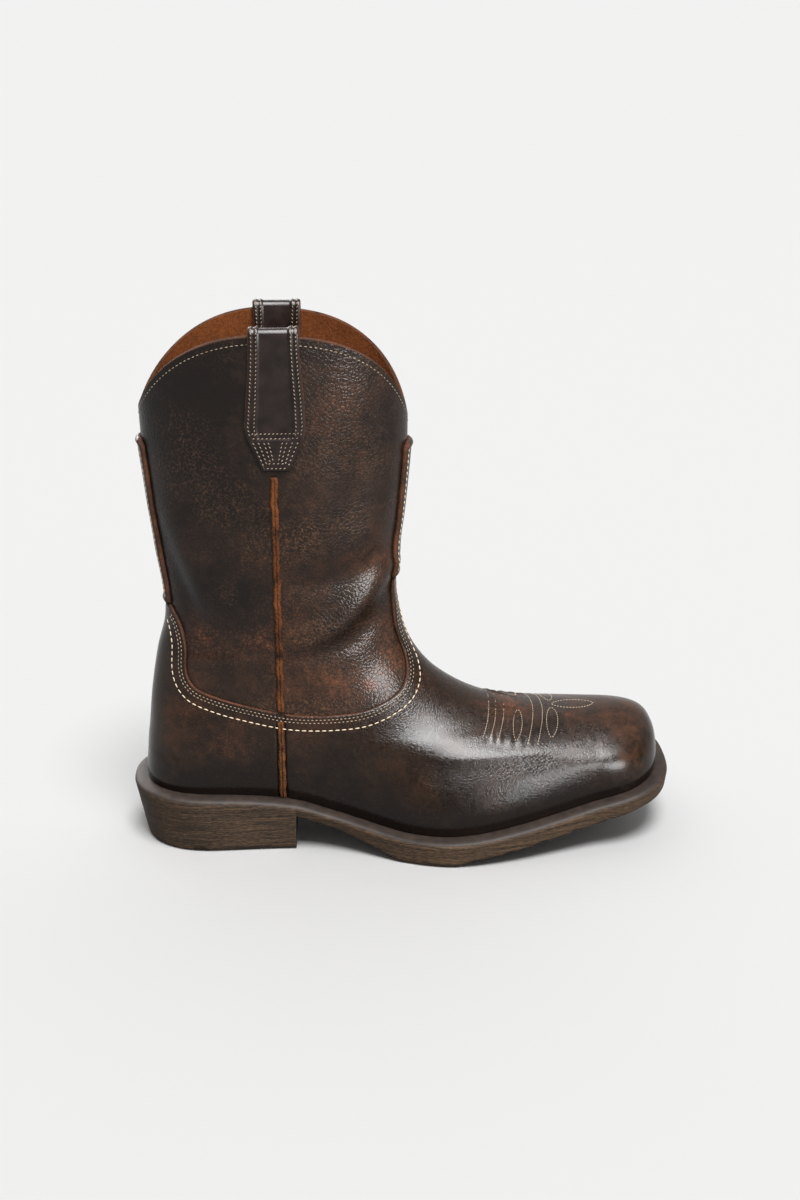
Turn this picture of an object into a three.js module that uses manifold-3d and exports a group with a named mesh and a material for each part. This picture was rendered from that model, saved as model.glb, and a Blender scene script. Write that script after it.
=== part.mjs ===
import * as THREE from "three";
import Module from "manifold-3d";

// Driving sizes in millimetres. X runs from heel to toe, -Y is the outer side of a right boot, Z is up.
const UPPER_LENGTH = 292.6; // length of the upper along the line where it meets the sole
const BALL_WIDTH = 98.4; // greatest width of the upper, across the ball of the foot
const HEEL_HEIGHT = 35; // from the floor to the top of the sole at the heel
const ANKLE_HEIGHT = 100; // from the top of the sole at the heel to the narrow of the ankle
const SHAFT_HEIGHT = 114; // from the narrow of the ankle to the low front of the collar
const COLLAR_DEPTH = 144.6; // length of the collar opening, front to back
const COLLAR_WIDTH = 75; // width of the collar opening, side to side
const COLLAR_RISE = 47.5; // how far the collar rises at the sides above its front and back
const WALL = 2.4; // leather and lining of the upper
const OVERLAY = 1.7; // leather laid over the upper
const STRIP = 2.1; // leather strips of the front and back seams
const GAP = 0.3; // clearance between pieces that are glued or stitched
const SOLE_GAP = 0.45; // clearance between the sole and what stands on it
const SOLE_LEDGE = 7.4; // how far the sole stands out past the foot leather
const SOLE_LIP = 2.4; // rounding of the ledge's rim
const SOLE_BEVEL = 2; // rounding of the sole's lower edge
const TOE_RISE = 25; // height of the sole's lower edge above the floor at the toe
const HEEL_TAPER = 6; // how far the back of the heel slopes in towards the floor
const HEEL_SIDE_TAPER = 1.5; // the same at the heel's sides
const SOLE_TAPER = 0.8; // the same round the forefoot
const TREAD_DEPTH = 1.8; // depth of the grooves between the pads
const GROOVE_WIDTH = 4; // width of a forefoot groove, and half the width of the heel's
const TREAD_WEAR = 0.75; // what the floor takes off the forefoot's lowest pads, so that they stand flat
const CORD_WIDTH = 4; // raised cord along the side seams
const SHAFT_CORD = 1.7; // height of the cord above the shaft
const FOOT_CORD = 3.1; // height of the cord above the upper, between vamp and counter
const CORD_GAP = 3; // from the top of the cord to the tip of the pull strap
const STRAP = 2.2; // leather of a pull strap
const STRAP_GAP = 0.5; // clearance of a pull strap from the leather that it lies on
const STRAP_RISE = 5; // how far a pull strap stands up above the collar
const STRAP_WIDTH = 32; // greatest width of a pull strap, near its lower end
const INSOLE = 3; // thickness of the insole board

const SHAFT_AXIS = 77 / 293.6; // middle of the shaft, in upper lengths from the back of the heel

// Rings of the foot, from the sole to the ankle. Front and back are ends of the ring: x in upper
// lengths from the back of the heel, z in ankle heights above the heel's seat. Widths are half
// widths in ball widths; the rounds are the lengths over which each end closes, in upper lengths,
// with the power of that curve; swing is the share of the sideways bend of the foot.
const FOOT_RINGS = [
  { frontX: 1.0, frontZ: 0.0, backX: 0.0, backZ: 0.0, heel: 0.3, waist: 0.279, ball: 0.484, toe: 0.391,
    frontRound: 0.112, backRound: 0.122, frontPower: 2.8, backPower: 2.3, swing: 1 },
  { frontX: 1.003, frontZ: 0.085, backX: 0.0, backZ: 0.05, heel: 0.315, waist: 0.313, ball: 0.5, toe: 0.409,
    frontRound: 0.122, backRound: 0.129, frontPower: 2.6, backPower: 2.3, swing: 1 },
  { frontX: 0.997, frontZ: 0.2, backX: 0.001, backZ: 0.11, heel: 0.321, waist: 0.329, ball: 0.465, toe: 0.388,
    frontRound: 0.15, backRound: 0.136, frontPower: 2.4, backPower: 2.2, swing: 0.95 },
  { frontX: 0.976, frontZ: 0.286, backX: 0.003, backZ: 0.16, heel: 0.323, waist: 0.334, ball: 0.42, toe: 0.329,
    frontRound: 0.238, backRound: 0.143, frontPower: 2.2, backPower: 2.2, swing: 0.9 },
  { frontX: 0.934, frontZ: 0.329, backX: 0.004, backZ: 0.205, heel: 0.323, waist: 0.336, ball: 0.395, toe: 0.305,
    frontRound: 0.402, backRound: 0.15, frontPower: 2, backPower: 2.1, swing: 0.8 },
  { frontX: 0.855, frontZ: 0.341, backX: 0.006, backZ: 0.255, heel: 0.321, waist: 0.336, ball: 0.385, toe: 0.244,
    frontRound: 0.443, backRound: 0.153, frontPower: 2, backPower: 2.1, swing: 0.7 },
  { frontX: 0.765, frontZ: 0.35, backX: 0.009, backZ: 0.315, heel: 0.317, waist: 0.336, ball: 0.385, toe: 0.244,
    frontRound: 0.416, backRound: 0.157, frontPower: 2, backPower: 2.1, swing: 0.6 },
  { frontX: 0.683, frontZ: 0.4, backX: 0.012, backZ: 0.395, heel: 0.31, waist: 0.334, ball: 0.388, toe: 0.305,
    frontRound: 0.381, backRound: 0.16, frontPower: 2, backPower: 2.1, swing: 0.45 },
  { frontX: 0.612, frontZ: 0.49, backX: 0.016, backZ: 0.5, heel: 0.299, waist: 0.332, ball: 0.378, toe: 0.305,
    frontRound: 0.341, backRound: 0.163, frontPower: 2, backPower: 2, swing: 0.3 },
  { frontX: 0.55, frontZ: 0.623, backX: 0.023, backZ: 0.63, heel: 0.291, waist: 0.331, ball: 0.369, toe: 0.305,
    frontRound: 0.307, backRound: 0.17, frontPower: 2, backPower: 2, swing: 0.2 },
  { frontX: 0.507, frontZ: 0.8, backX: 0.034, backZ: 0.79, heel: 0.293, waist: 0.335, ball: 0.352, toe: 0.305,
    frontRound: 0.272, backRound: 0.177, frontPower: 2, backPower: 2, swing: 0.1 },
];

// Rings of the shaft, from the ankle to the collar. X in collar depths from the middle of the
// shaft, z in shaft heights above the ankle, half widths in collar widths, rounds in collar depths,
// and rise the share of the collar's rise at the sides.
const SHAFT_RINGS = [
  { frontX: 0.454, frontZ: 0.013, backX: -0.429, backZ: -0.022, heel: 0.403, waist: 0.453, ball: 0.467,
    frontRound: 0.484, backRound: 0.387, rise: 0 },
  { frontX: 0.445, frontZ: 0.197, backX: -0.429, backZ: 0.153, heel: 0.432, waist: 0.475, ball: 0.483,
    frontRound: 0.45, backRound: 0.415, rise: 0.04 },
  { frontX: 0.463, frontZ: 0.408, backX: -0.454, backZ: 0.364, heel: 0.469, waist: 0.491, ball: 0.496,
    frontRound: 0.456, backRound: 0.443, rise: 0.18 },
  { frontX: 0.483, frontZ: 0.627, backX: -0.479, backZ: 0.61, heel: 0.491, waist: 0.5, ball: 0.501,
    frontRound: 0.477, backRound: 0.47, rise: 0.42 },
  { frontX: 0.497, frontZ: 0.82, backX: -0.497, backZ: 0.838, heel: 0.495, waist: 0.495, ball: 0.496,
    frontRound: 0.498, backRound: 0.498, rise: 0.72 },
  { frontX: 0.5, frontZ: 0.978, backX: -0.5, backZ: 1.035, heel: 0.489, waist: 0.487, ball: 0.489,
    frontRound: 0.498, backRound: 0.498, rise: 1 },
];

// Where the half widths are held, in upper lengths from the back of the heel.
const STATIONS = [0.122, 0.352, 0.59, 0.873];

// Meshed rings between each ring of the two tables and the next.
const RINGS_BETWEEN = [2, 2, 2, 1, 1, 1, 1, 1, 2, 2, 2, 2, 2, 1, 1, 2];
const COLUMNS = 48; // points around a ring of the upper
const SOLE_COLUMNS = 72; // points around the sole and the insole board

// Line where the upper meets the sole: x in upper lengths, z in heel heights.
const FEATHER_LINE = [
  { x: 0, z: 1 },
  { x: 0.17, z: 0.945 },
  { x: 0.29, z: 0.824 },
  { x: 0.36, z: 0.66 },
  { x: 0.479, z: 0.474 },
  { x: 0.554, z: 0.451 },
  { x: 0.633, z: 0.486 },
  { x: 0.711, z: 0.566 },
  { x: 0.81, z: 0.691 },
  { x: 0.905, z: 0.84 },
  { x: 1, z: 1 },
];

// Sideways bend of the foot's middle line: x in upper lengths, y in ball widths.
const SWING_LINE = [
  { x: 0, y: 0 },
  { x: 0.17, y: 0 },
  { x: 0.35, y: -0.025 },
  { x: 0.565, y: -0.051 },
  { x: 0.7, y: -0.025 },
  { x: 0.871, y: 0.041 },
  { x: 1, y: 0.091 },
];

// Underside of the sole ahead of the heel, before the floor has worn it flat: x in upper lengths,
// z in toe rises above its lowest line.
const HEEL_BREAST = 0.286;
const SOLE_BOTTOM = [
  { x: HEEL_BREAST, z: 0.85 },
  { x: 0.335, z: 0.68 },
  { x: 0.378, z: 0.52 },
  { x: 0.415, z: 0.36 },
  { x: 0.45, z: 0.19 },
  { x: 0.482, z: 0.03 },
  { x: 0.497, z: 0 },
  { x: 0.58, z: 0 },
  { x: 0.61, z: 0.09 },
  { x: 0.66, z: 0.2 },
  { x: 0.71, z: 0.29 },
  { x: 0.76, z: 0.39 },
  { x: 0.81, z: 0.49 },
  { x: 0.86, z: 0.6 },
  { x: 0.92, z: 0.78 },
  { x: 0.97, z: 0.92 },
  { x: 1.03, z: 1.02 },
];

// Edge of the foot leather over the shaft panels, from the back strip round to the front strip:
// x as a share of the boot's depth at that height, from its back line, and z in ankle heights above
// the heel's seat.
const PANEL_EDGE = [
  { x: 0.01, z: 1.06 },
  { x: 0.029, z: 1.046 },
  { x: 0.047, z: 1.014 },
  { x: 0.073, z: 0.945 },
  { x: 0.1, z: 0.866 },
  { x: 0.112, z: 0.78 },
  { x: 0.113, z: 0.71 },
  { x: 0.129, z: 0.656 },
  { x: 0.16, z: 0.613 },
  { x: 0.234, z: 0.573 },
  { x: 0.319, z: 0.532 },
  { x: 0.394, z: 0.498 },
  { x: 0.442, z: 0.482 },
  { x: 0.508, z: 0.475 },
  { x: 0.593, z: 0.478 },
  { x: 0.673, z: 0.491 },
  { x: 0.76, z: 0.526 },
  { x: 0.847, z: 0.574 },
  { x: 0.914, z: 0.634 },
  { x: 0.958, z: 0.715 },
  { x: 0.972, z: 0.82 },
  { x: 0.969, z: 0.92 },
  { x: 0.984, z: 1.024 },
  { x: 0.988, z: 1.13 },
  { x: 0.985, z: 1.2 },
];

// Pull strap, from its lower tip outside, over the collar, to its inner end. Rise is measured
// along the shaft: z in shaft heights above the ankle. Front and back edges are in strap widths
// from the middle of the strap.
const STRAP_OUTSIDE = [
  { z: 0.8, back: -0.2, front: 0.2 },
  { z: 0.955, back: -0.46, front: 0.46 },
  { z: 1.01, back: -0.5, front: 0.5 },
  { z: 1.13, back: -0.46, front: 0.48 },
  { z: 1.26, back: -0.42, front: 0.44 },
  { z: 1.36, back: -0.4, front: 0.42 },
];
const STRAP_INSIDE = [
  { z: 1.36, back: -0.4, front: 0.42 },
  { z: 1.2, back: -0.4, front: 0.42 },
  { z: 1.04, back: -0.4, front: 0.42 },
];
const STRAP_MIDDLE = 0.268; // middle of the straps, in upper lengths
const SEAM_X = 0.263; // side seam, in upper lengths

// Pads under the sole: middles of the grooves between them, in upper lengths.
const FOREFOOT_GROOVES = [0.462, 0.6, 0.675, 0.745, 0.815, 0.885];
const HEEL_GROOVES = [0.1];

const wasm = await Module();
wasm.setup();

const BACK_X = 2 * GAP + SOLE_LEDGE + OVERLAY; // back of the upper, from the back of the sole
const footX = (share) => BACK_X + share * UPPER_LENGTH;
const footZ = (share) => HEEL_HEIGHT + share * ANKLE_HEIGHT;
const shaftZ = (share) => HEEL_HEIGHT + ANKLE_HEIGHT + share * SHAFT_HEIGHT;

// Cubic curve through the points (xs, ys), straight beyond its ends.
function curveThrough(xs, ys) {
  const last = xs.length - 1;
  const slope = xs.map((_, i) => {
    const a = Math.max(i - 1, 0);
    const b = Math.min(i + 1, last);
    return (ys[b] - ys[a]) / (xs[b] - xs[a]);
  });
  return (x) => {
    if (x <= xs[0]) return ys[0] + slope[0] * (x - xs[0]);
    if (x >= xs[last]) return ys[last] + slope[last] * (x - xs[last]);
    let i = 0;
    while (x > xs[i + 1]) i++;
    const h = xs[i + 1] - xs[i];
    const t = (x - xs[i]) / h;
    const t2 = t * t;
    const t3 = t2 * t;
    return (
      (2 * t3 - 3 * t2 + 1) * ys[i] +
      (t3 - 2 * t2 + t) * h * slope[i] +
      (3 * t2 - 2 * t3) * ys[i + 1] +
      (t3 - t2) * h * slope[i + 1]
    );
  };
}

function straightThrough(xs, ys) {
  const last = xs.length - 1;
  return (x) => {
    let i = 0;
    while (i < last - 1 && x > xs[i + 1]) i++;
    return ys[i] + ((ys[i + 1] - ys[i]) * (x - xs[i])) / (xs[i + 1] - xs[i]);
  };
}

const featherZ = curveThrough(
  FEATHER_LINE.map((row) => footX(row.x)),
  FEATHER_LINE.map((row) => row.z * HEEL_HEIGHT),
);
const swingY = curveThrough(
  SWING_LINE.map((row) => footX(row.x)),
  SWING_LINE.map((row) => row.y * BALL_WIDTH),
);

// All rings in millimetres, from the sole to the collar.
const rings = [
  ...FOOT_RINGS.map((row) => ({
    frontX: footX(row.frontX),
    frontZ: footZ(row.frontZ),
    backX: footX(row.backX),
    backZ: footZ(row.backZ),
    heel: row.heel * BALL_WIDTH,
    waist: row.waist * BALL_WIDTH,
    ball: row.ball * BALL_WIDTH,
    toe: row.toe * BALL_WIDTH,
    frontRound: row.frontRound * UPPER_LENGTH,
    backRound: row.backRound * UPPER_LENGTH,
    frontPower: row.frontPower,
    backPower: row.backPower,
    swing: row.swing,
    rise: 0,
  })),
  ...SHAFT_RINGS.map((row) => ({
    frontX: footX(SHAFT_AXIS) + row.frontX * COLLAR_DEPTH,
    frontZ: shaftZ(row.frontZ),
    backX: footX(SHAFT_AXIS) + row.backX * COLLAR_DEPTH,
    backZ: shaftZ(row.backZ),
    heel: row.heel * COLLAR_WIDTH,
    waist: row.waist * COLLAR_WIDTH,
    ball: row.ball * COLLAR_WIDTH,
    toe: 0.4 * COLLAR_WIDTH,
    frontRound: row.frontRound * COLLAR_DEPTH,
    backRound: row.backRound * COLLAR_DEPTH,
    frontPower: 2,
    backPower: 2,
    swing: 0,
    rise: row.rise,
  })),
];
const ringNumbers = rings.map((_, i) => i);
const ringColumns = Object.keys(rings[0]).map((key) => [
  key,
  curveThrough(
    ringNumbers,
    rings.map((ring) => ring[key]),
  ),
]);
const ringAt = (level) => Object.fromEntries(ringColumns.map(([key, curve]) => [key, curve(level)]));

// Share of the full width at t of the way into a rounded end.
function roundedEnd(t, power) {
  const s = Math.min(Math.max(t, 0), 1);
  return Math.pow(1 - Math.pow(1 - s, power), 1 / power);
}

const stationX = STATIONS.map(footX);
const SEAT_FADE = 6; // ring at which the curve of the sole has faded out
const COLLAR_FRONT = { power: 2.7, root: 0.52 };
const COLLAR_BACK = { power: 2.15, root: 0.6 };
const COLLAR_SOFT = 0.12; // rounds the low points of the collar

// A point of the upper's outer surface: level counts rings from the sole, turn goes once round from
// the back, along the outer side, past the front and back along the inner side.
function upperPoint(level, turn) {
  const ring = ringAt(level);
  const along = (1 - Math.cos(2 * Math.PI * turn)) / 2;
  const x = ring.backX + (ring.frontX - ring.backX) * along;
  const side = turn % 1 <= 0.5 ? -1 : 1;
  const halfWidth = curveThrough(stationX, [ring.heel, ring.waist, ring.ball, ring.toe])(
    Math.min(Math.max(x, stationX[0]), stationX[3]),
  );
  const closing =
    roundedEnd((ring.frontX - x) / ring.frontRound, ring.frontPower) *
    roundedEnd((x - ring.backX) / ring.backRound, ring.backPower);
  const seatShare = Math.pow(Math.max(1 - level / SEAT_FADE, 0), 1.6);
  const half = (ring.frontX - ring.backX) / 2;
  const off = (x - (ring.frontX + ring.backX) / 2) / half;
  const arch = off > 0 ? COLLAR_FRONT : COLLAR_BACK;
  const steep = Math.pow(Math.max(1 - Math.pow(Math.abs(off), arch.power), 0), arch.root);
  const softened = (share) => Math.hypot(share, COLLAR_SOFT) - COLLAR_SOFT;
  return new THREE.Vector3(
    x,
    swingY(x) * ring.swing + side * halfWidth * closing,
    ring.backZ +
      (ring.frontZ - ring.backZ) * along +
      (featherZ(x) - HEEL_HEIGHT) * seatShare +
      (COLLAR_RISE * ring.rise * softened(steep)) / softened(1),
  );
}

// Outward direction of that surface; along the sole's edge it is level.
function upperNormal(level, turn) {
  const step = 0.002;
  const top = rings.length - 1;
  const around = upperPoint(level, turn + step).sub(upperPoint(level, turn - step + 1));
  if (level === 0) return new THREE.Vector3(around.y, -around.x, 0).normalize();
  const low = upperPoint(Math.max(level - 0.02, 0), turn);
  const high = upperPoint(Math.min(level + 0.02, top), turn);
  return around.cross(high.sub(low)).normalize();
}

function upperOffset(level, turn, distance) {
  const p = upperPoint(level, turn).addScaledVector(upperNormal(level, turn), distance);
  if (level === 0) p.z = featherZ(p.x);
  return p;
}

// Turn at which the surface has this x, on the outer (side -1) or the inner side.
function turnAtX(level, x, side) {
  const ring = ringAt(level);
  const along = Math.min(Math.max((x - ring.backX) / (ring.frontX - ring.backX), 0), 1);
  const turn = Math.acos(1 - 2 * along) / (2 * Math.PI);
  return side < 0 ? turn : 1 - turn;
}

// Level at which the surface passes through this x and z, on one side.
function levelAt(x, z, side) {
  let low = 0;
  let high = rings.length - 1;
  for (let i = 0; i < 40; i++) {
    const middle = (low + high) / 2;
    if (upperPoint(middle, turnAtX(middle, x, side)).z < z) low = middle;
    else high = middle;
  }
  return (low + high) / 2;
}

// Level at which the line of one turn passes through this z.
function levelOnLine(z, turn) {
  let low = 0;
  let high = rings.length - 1;
  for (let i = 0; i < 40; i++) {
    const middle = (low + high) / 2;
    if (upperPoint(middle, turn).z < z) low = middle;
    else high = middle;
  }
  return (low + high) / 2;
}

const meshLevels = [0];
RINGS_BETWEEN.forEach((count, i) => {
  for (let k = 1; k <= count; k++) meshLevels.push(i + k / count);
});
const turns = Array.from({ length: COLUMNS }, (_, i) => i / COLUMNS);

// A closed solid from points and triangles, turned to face outwards.
function closedSolid(points, triangles) {
  let volume = 0;
  for (const [a, b, c] of triangles) volume += points[a].dot(points[b].clone().cross(points[c]));
  const faces = volume < 0 ? triangles.map(([a, b, c]) => [a, c, b]) : triangles;
  return new wasm.Manifold(
    new wasm.Mesh({
      numProp: 3,
      vertProperties: new Float32Array(points.flatMap((p) => [p.x, p.y, p.z])),
      triVerts: new Uint32Array(faces.flat()),
    }),
  );
}

function quad(triangles, a, b, c, d) {
  triangles.push([a, b, c], [a, c, d]);
}

// A tube with a wall: both grids hold the same rows of closed rings.
function wallSolid(outer, inner) {
  const rows = outer.length;
  const columns = outer[0].length;
  const at = (grid, row, column) => grid * rows * columns + row * columns + (column % columns);
  const triangles = [];
  for (let c = 0; c < columns; c++) {
    for (let r = 0; r < rows - 1; r++) {
      quad(triangles, at(0, r, c), at(0, r, c + 1), at(0, r + 1, c + 1), at(0, r + 1, c));
      quad(triangles, at(1, r, c), at(1, r + 1, c), at(1, r + 1, c + 1), at(1, r, c + 1));
    }
    quad(triangles, at(1, 0, c), at(1, 0, c + 1), at(0, 0, c + 1), at(0, 0, c));
    quad(triangles, at(0, rows - 1, c), at(0, rows - 1, c + 1), at(1, rows - 1, c + 1), at(1, rows - 1, c));
  }
  return closedSolid([...outer.flat(), ...inner.flat()], triangles);
}

// A plate between two open grids of the same size.
function plateSolid(outer, inner) {
  const rows = outer.length;
  const columns = outer[0].length;
  const at = (grid, row, column) => grid * rows * columns + row * columns + column;
  const triangles = [];
  for (let r = 0; r < rows - 1; r++) {
    for (let c = 0; c < columns - 1; c++) {
      quad(triangles, at(0, r, c), at(0, r, c + 1), at(0, r + 1, c + 1), at(0, r + 1, c));
      quad(triangles, at(1, r, c), at(1, r + 1, c), at(1, r + 1, c + 1), at(1, r, c + 1));
    }
    quad(triangles, at(1, r, 0), at(0, r, 0), at(0, r + 1, 0), at(1, r + 1, 0));
    const last = columns - 1;
    quad(triangles, at(0, r, last), at(1, r, last), at(1, r + 1, last), at(0, r + 1, last));
  }
  for (let c = 0; c < columns - 1; c++) {
    quad(triangles, at(1, 0, c), at(1, 0, c + 1), at(0, 0, c + 1), at(0, 0, c));
    quad(triangles, at(0, rows - 1, c), at(0, rows - 1, c + 1), at(1, rows - 1, c + 1), at(1, rows - 1, c));
  }
  return closedSolid([...outer.flat(), ...inner.flat()], triangles);
}

// A stack of closed rings with flat strips across its first and last ring, each strip joining a
// point of the outer side to the point at the same place on the inner side.
function stackSolid(stack) {
  const columns = stack[0].length;
  const at = (row, column) => row * columns + (column % columns);
  const triangles = [];
  for (let r = 0; r < stack.length - 1; r++)
    for (let c = 0; c < columns; c++)
      quad(triangles, at(r, c), at(r, c + 1), at(r + 1, c + 1), at(r + 1, c));
  const last = stack.length - 1;
  for (let c = 0; c < columns / 2; c++) {
    const [a, b, d, e] = [c, c + 1, columns - c - 1, columns - c];
    if (c > 0) {
      triangles.push([at(0, a), at(0, e), at(0, b)]);
      triangles.push([at(last, a), at(last, b), at(last, e)]);
    }
    if (c < columns / 2 - 1) {
      triangles.push([at(0, b), at(0, e), at(0, d)]);
      triangles.push([at(last, b), at(last, d), at(last, e)]);
    }
  }
  return closedSolid(stack.flat(), triangles);
}

function boxSolid(fromX, toX, fromY, toY, fromZ, toZ) {
  const points = [];
  for (const z of [fromZ, toZ])
    for (const [x, y] of [
      [fromX, fromY],
      [toX, fromY],
      [toX, toY],
      [fromX, toY],
    ])
      points.push(new THREE.Vector3(x, y, z));
  const triangles = [];
  quad(triangles, 3, 2, 1, 0);
  quad(triangles, 4, 5, 6, 7);
  for (let i = 0; i < 4; i++) quad(triangles, i, (i + 1) % 4, 4 + ((i + 1) % 4), 4 + i);
  return closedSolid(points, triangles);
}

// A prism across the boot whose outline in x and z is given, as a shape triangulated by three.js.
function prismAcross(outline, halfWidth) {
  const faces = THREE.ShapeUtils.triangulateShape(
    outline.map(([x, z]) => new THREE.Vector2(x, z)),
    [],
  );
  const count = outline.length;
  const points = [-halfWidth, halfWidth].flatMap((y) =>
    outline.map(([x, z]) => new THREE.Vector3(x, y, z)),
  );
  const triangles = faces.flatMap(([a, b, c]) => [
    [a, b, c],
    [a + count, c + count, b + count],
  ]);
  for (let i = 0; i < count; i++) {
    const next = (i + 1) % count;
    quad(triangles, next, i, i + count, next + count);
  }
  return closedSolid(points, triangles);
}

const FAR = 500; // beyond every part of the boot

// Upper: one hollow wall, open below and at the collar.
function layer(levels, distance) {
  return levels.map((level) => turns.map((turn) => upperOffset(level, turn, distance)));
}
const upper = wallSolid(layer(meshLevels, 0), layer(meshLevels, -WALL));

// Foot leather: a second skin over the foot, cut back to the panel edge and parted at the side seam.
const TONGUE_TOP = footZ(PANEL_EDGE[PANEL_EDGE.length - 1].z);
const COUNTER_TOP = footZ(PANEL_EDGE[0].z);
const SKIN_TOP_RING = 13; // first ring above the foot leather
const skinLevels = meshLevels.filter((level) => level <= SKIN_TOP_RING);
const skin = wallSolid(layer(skinLevels, GAP + OVERLAY), layer(skinLevels, GAP));
const xOnLine = (z, turn) => upperPoint(levelOnLine(z, turn), turn).x;
const edgePoints = PANEL_EDGE.map((row) => {
  const z = footZ(row.z);
  const backX = xOnLine(z, 0);
  return [backX + row.x * (xOnLine(z, 0.5) - backX), z];
});
const shaftWindow = prismAcross(
  [
    [-FAR, COUNTER_TOP],
    ...edgePoints,
    [FAR, TONGUE_TOP],
    [FAR, FAR],
    [-FAR, FAR],
  ],
  FAR,
);
const footLeather = skin.subtract(shaftWindow);
const seamX = footX(SEAM_X);
const seamHalf = CORD_WIDTH / 2 + GAP;
const pastSeam = edgePoints.findIndex(([x]) => x > seamX);
const edgeBySeam = edgePoints.slice(pastSeam - 1, pastSeam + 1);
const edgeAtSeam = straightThrough(
  edgeBySeam.map(([x]) => x),
  edgeBySeam.map(([, z]) => z),
)(seamX);
const vamp = footLeather.subtract(boxSolid(-FAR, seamX + seamHalf, -FAR, FAR, -FAR, FAR));
const counter = footLeather.subtract(boxSolid(seamX - seamHalf, FAR, -FAR, FAR, -FAR, FAR));

// Strips over the front and back seams of the shaft, in rows of one height.
const STRIP_ROWS = 8;
const STRIP_COLUMNS = [-2, -1, 0, 1, 2];
function seamStrip(fromZ, toZ, middleTurn) {
  const step = (toZ - fromZ) / (STRIP_ROWS - 1);
  const heights = Array.from({ length: STRIP_ROWS }, (_, i) => fromZ + step * i);
  const grid = (distance) =>
    heights.map((z, i) => {
      const share = i === STRIP_ROWS - 1 ? 0.7 : 1;
      return STRIP_COLUMNS.map((column) => {
        const turn = (1 + middleTurn + (column * share) / COLUMNS) % 1;
        return upperOffset(levelOnLine(z, turn), turn, distance);
      });
    });
  return plateSolid(grid(GAP + STRIP), grid(GAP));
}
const frontStrip = seamStrip(TONGUE_TOP + GAP, shaftZ(0.86), 0.5);
const backStrip = seamStrip(COUNTER_TOP + GAP, shaftZ(0.89), 0);

// Raised cord along a side seam, between two heights.
function seamCord(fromLevel, toLevel, side, height) {
  const between = meshLevels.filter((level) => level > fromLevel + 0.12 && level < toLevel - 0.12);
  const levels = [fromLevel, ...between, toLevel];
  const grid = (distance, spread) =>
    levels.map((level) =>
      [-1, -0.45, 0.45, 1].map((t) => {
        const x = seamX + (t * CORD_WIDTH * spread) / 2;
        const edge = Math.abs(t) === 1 ? 0.55 : 1;
        return upperOffset(level, turnAtX(level, x, side), GAP + (distance - GAP) * edge);
      }),
    );
  return plateSolid(grid(GAP + height, 1), grid(GAP, 1));
}
const cordStart = (side) => levelAt(seamX, edgeAtSeam + 4 * GAP, side);
const cordEnd = (side) => levelAt(seamX, shaftZ(STRAP_OUTSIDE[0].z) - CORD_GAP, side);
const footCordEnd = (side) => levelAt(seamX, edgeAtSeam - CORD_WIDTH, side);

// Pull strap: up the outside, over the collar and down the inside.
function pullStrap(side) {
  const middle = footX(STRAP_MIDDLE);
  const across = [0, 0.25, 0.5, 0.75, 1];
  const legRow = (row, distance) =>
    across.map((t) => {
      const x = middle + STRAP_WIDTH * (row.back + (row.front - row.back) * t);
      const level = levelAt(x, shaftZ(row.z), side);
      return upperOffset(level, turnAtX(level, x, side), distance);
    });
  const top = STRAP_OUTSIDE[STRAP_OUTSIDE.length - 1];
  const collarZ = upperPoint(rings.length - 1, turnAtX(rings.length - 1, middle, side)).z;
  const crown = (reach, height, lift) =>
    [0.18, 0.5, 0.82].map((share) => {
      const angle = Math.PI * share;
      return across.map((t) => {
        const x = middle + STRAP_WIDTH * (top.back + (top.front - top.back) * t);
        const wall = upperPoint(rings.length - 1, turnAtX(rings.length - 1, x, side));
        const centreY = wall.y - (side * WALL) / 2;
        return new THREE.Vector3(x, centreY + side * reach * Math.cos(angle), lift + height * Math.sin(angle));
      });
    });
  const reach = WALL / 2 + STRAP_GAP;
  const lift = collarZ + STRAP_GAP;
  const outer = [
    ...STRAP_OUTSIDE.map((row) => legRow(row, STRAP_GAP + STRAP)),
    ...crown(reach + STRAP, STRAP_RISE - STRAP_GAP, lift),
    ...STRAP_INSIDE.map((row) => legRow(row, -WALL - STRAP_GAP - STRAP)),
  ];
  const inner = [
    ...STRAP_OUTSIDE.map((row) => legRow(row, STRAP_GAP)),
    ...crown(reach, STRAP_RISE - STRAP_GAP - STRAP, lift),
    ...STRAP_INSIDE.map((row) => legRow(row, -WALL - STRAP_GAP)),
  ];
  return plateSolid(outer, inner);
}

// Outline of the upper where it meets the sole, moved out by a distance.
const outlinePoint = (turn, distance) =>
  upperPoint(0, turn).addScaledVector(upperNormal(0, turn), distance);

const soleBottomZ = straightThrough(
  SOLE_BOTTOM.map((row) => footX(row.x)),
  SOLE_BOTTOM.map((row) => row.z * TOE_RISE - TREAD_WEAR),
);
const breastX = footX(HEEL_BREAST);
const topZ = (x) => featherZ(x) - SOLE_GAP;

// Columns of the sole, with one pair close together on each side of the heel's front face.
const BREAST_STEP = 0.0012; // in turns
const BREAST_CLEAR = 0.006; // other columns keep this far off, in turns
const halfTurns = [];
for (let i = 1; i < SOLE_COLUMNS / 2; i++) halfTurns.push(i / SOLE_COLUMNS);
const breastTurn = (() => {
  let low = 0;
  let high = 0.5;
  for (let i = 0; i < 40; i++) {
    const middle = (low + high) / 2;
    if (outlinePoint(middle, BACK_X).x < breastX) low = middle;
    else high = middle;
  }
  return (low + high) / 2;
})();
const soleHalf = halfTurns
  .filter((turn) => Math.abs(turn - breastTurn) > BREAST_CLEAR)
  .concat([breastTurn - BREAST_STEP, breastTurn + BREAST_STEP])
  .sort((a, b) => a - b);
const soleTurns = [0, ...soleHalf, 0.5, ...soleHalf.map((turn) => 1 - turn).reverse()];

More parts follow.
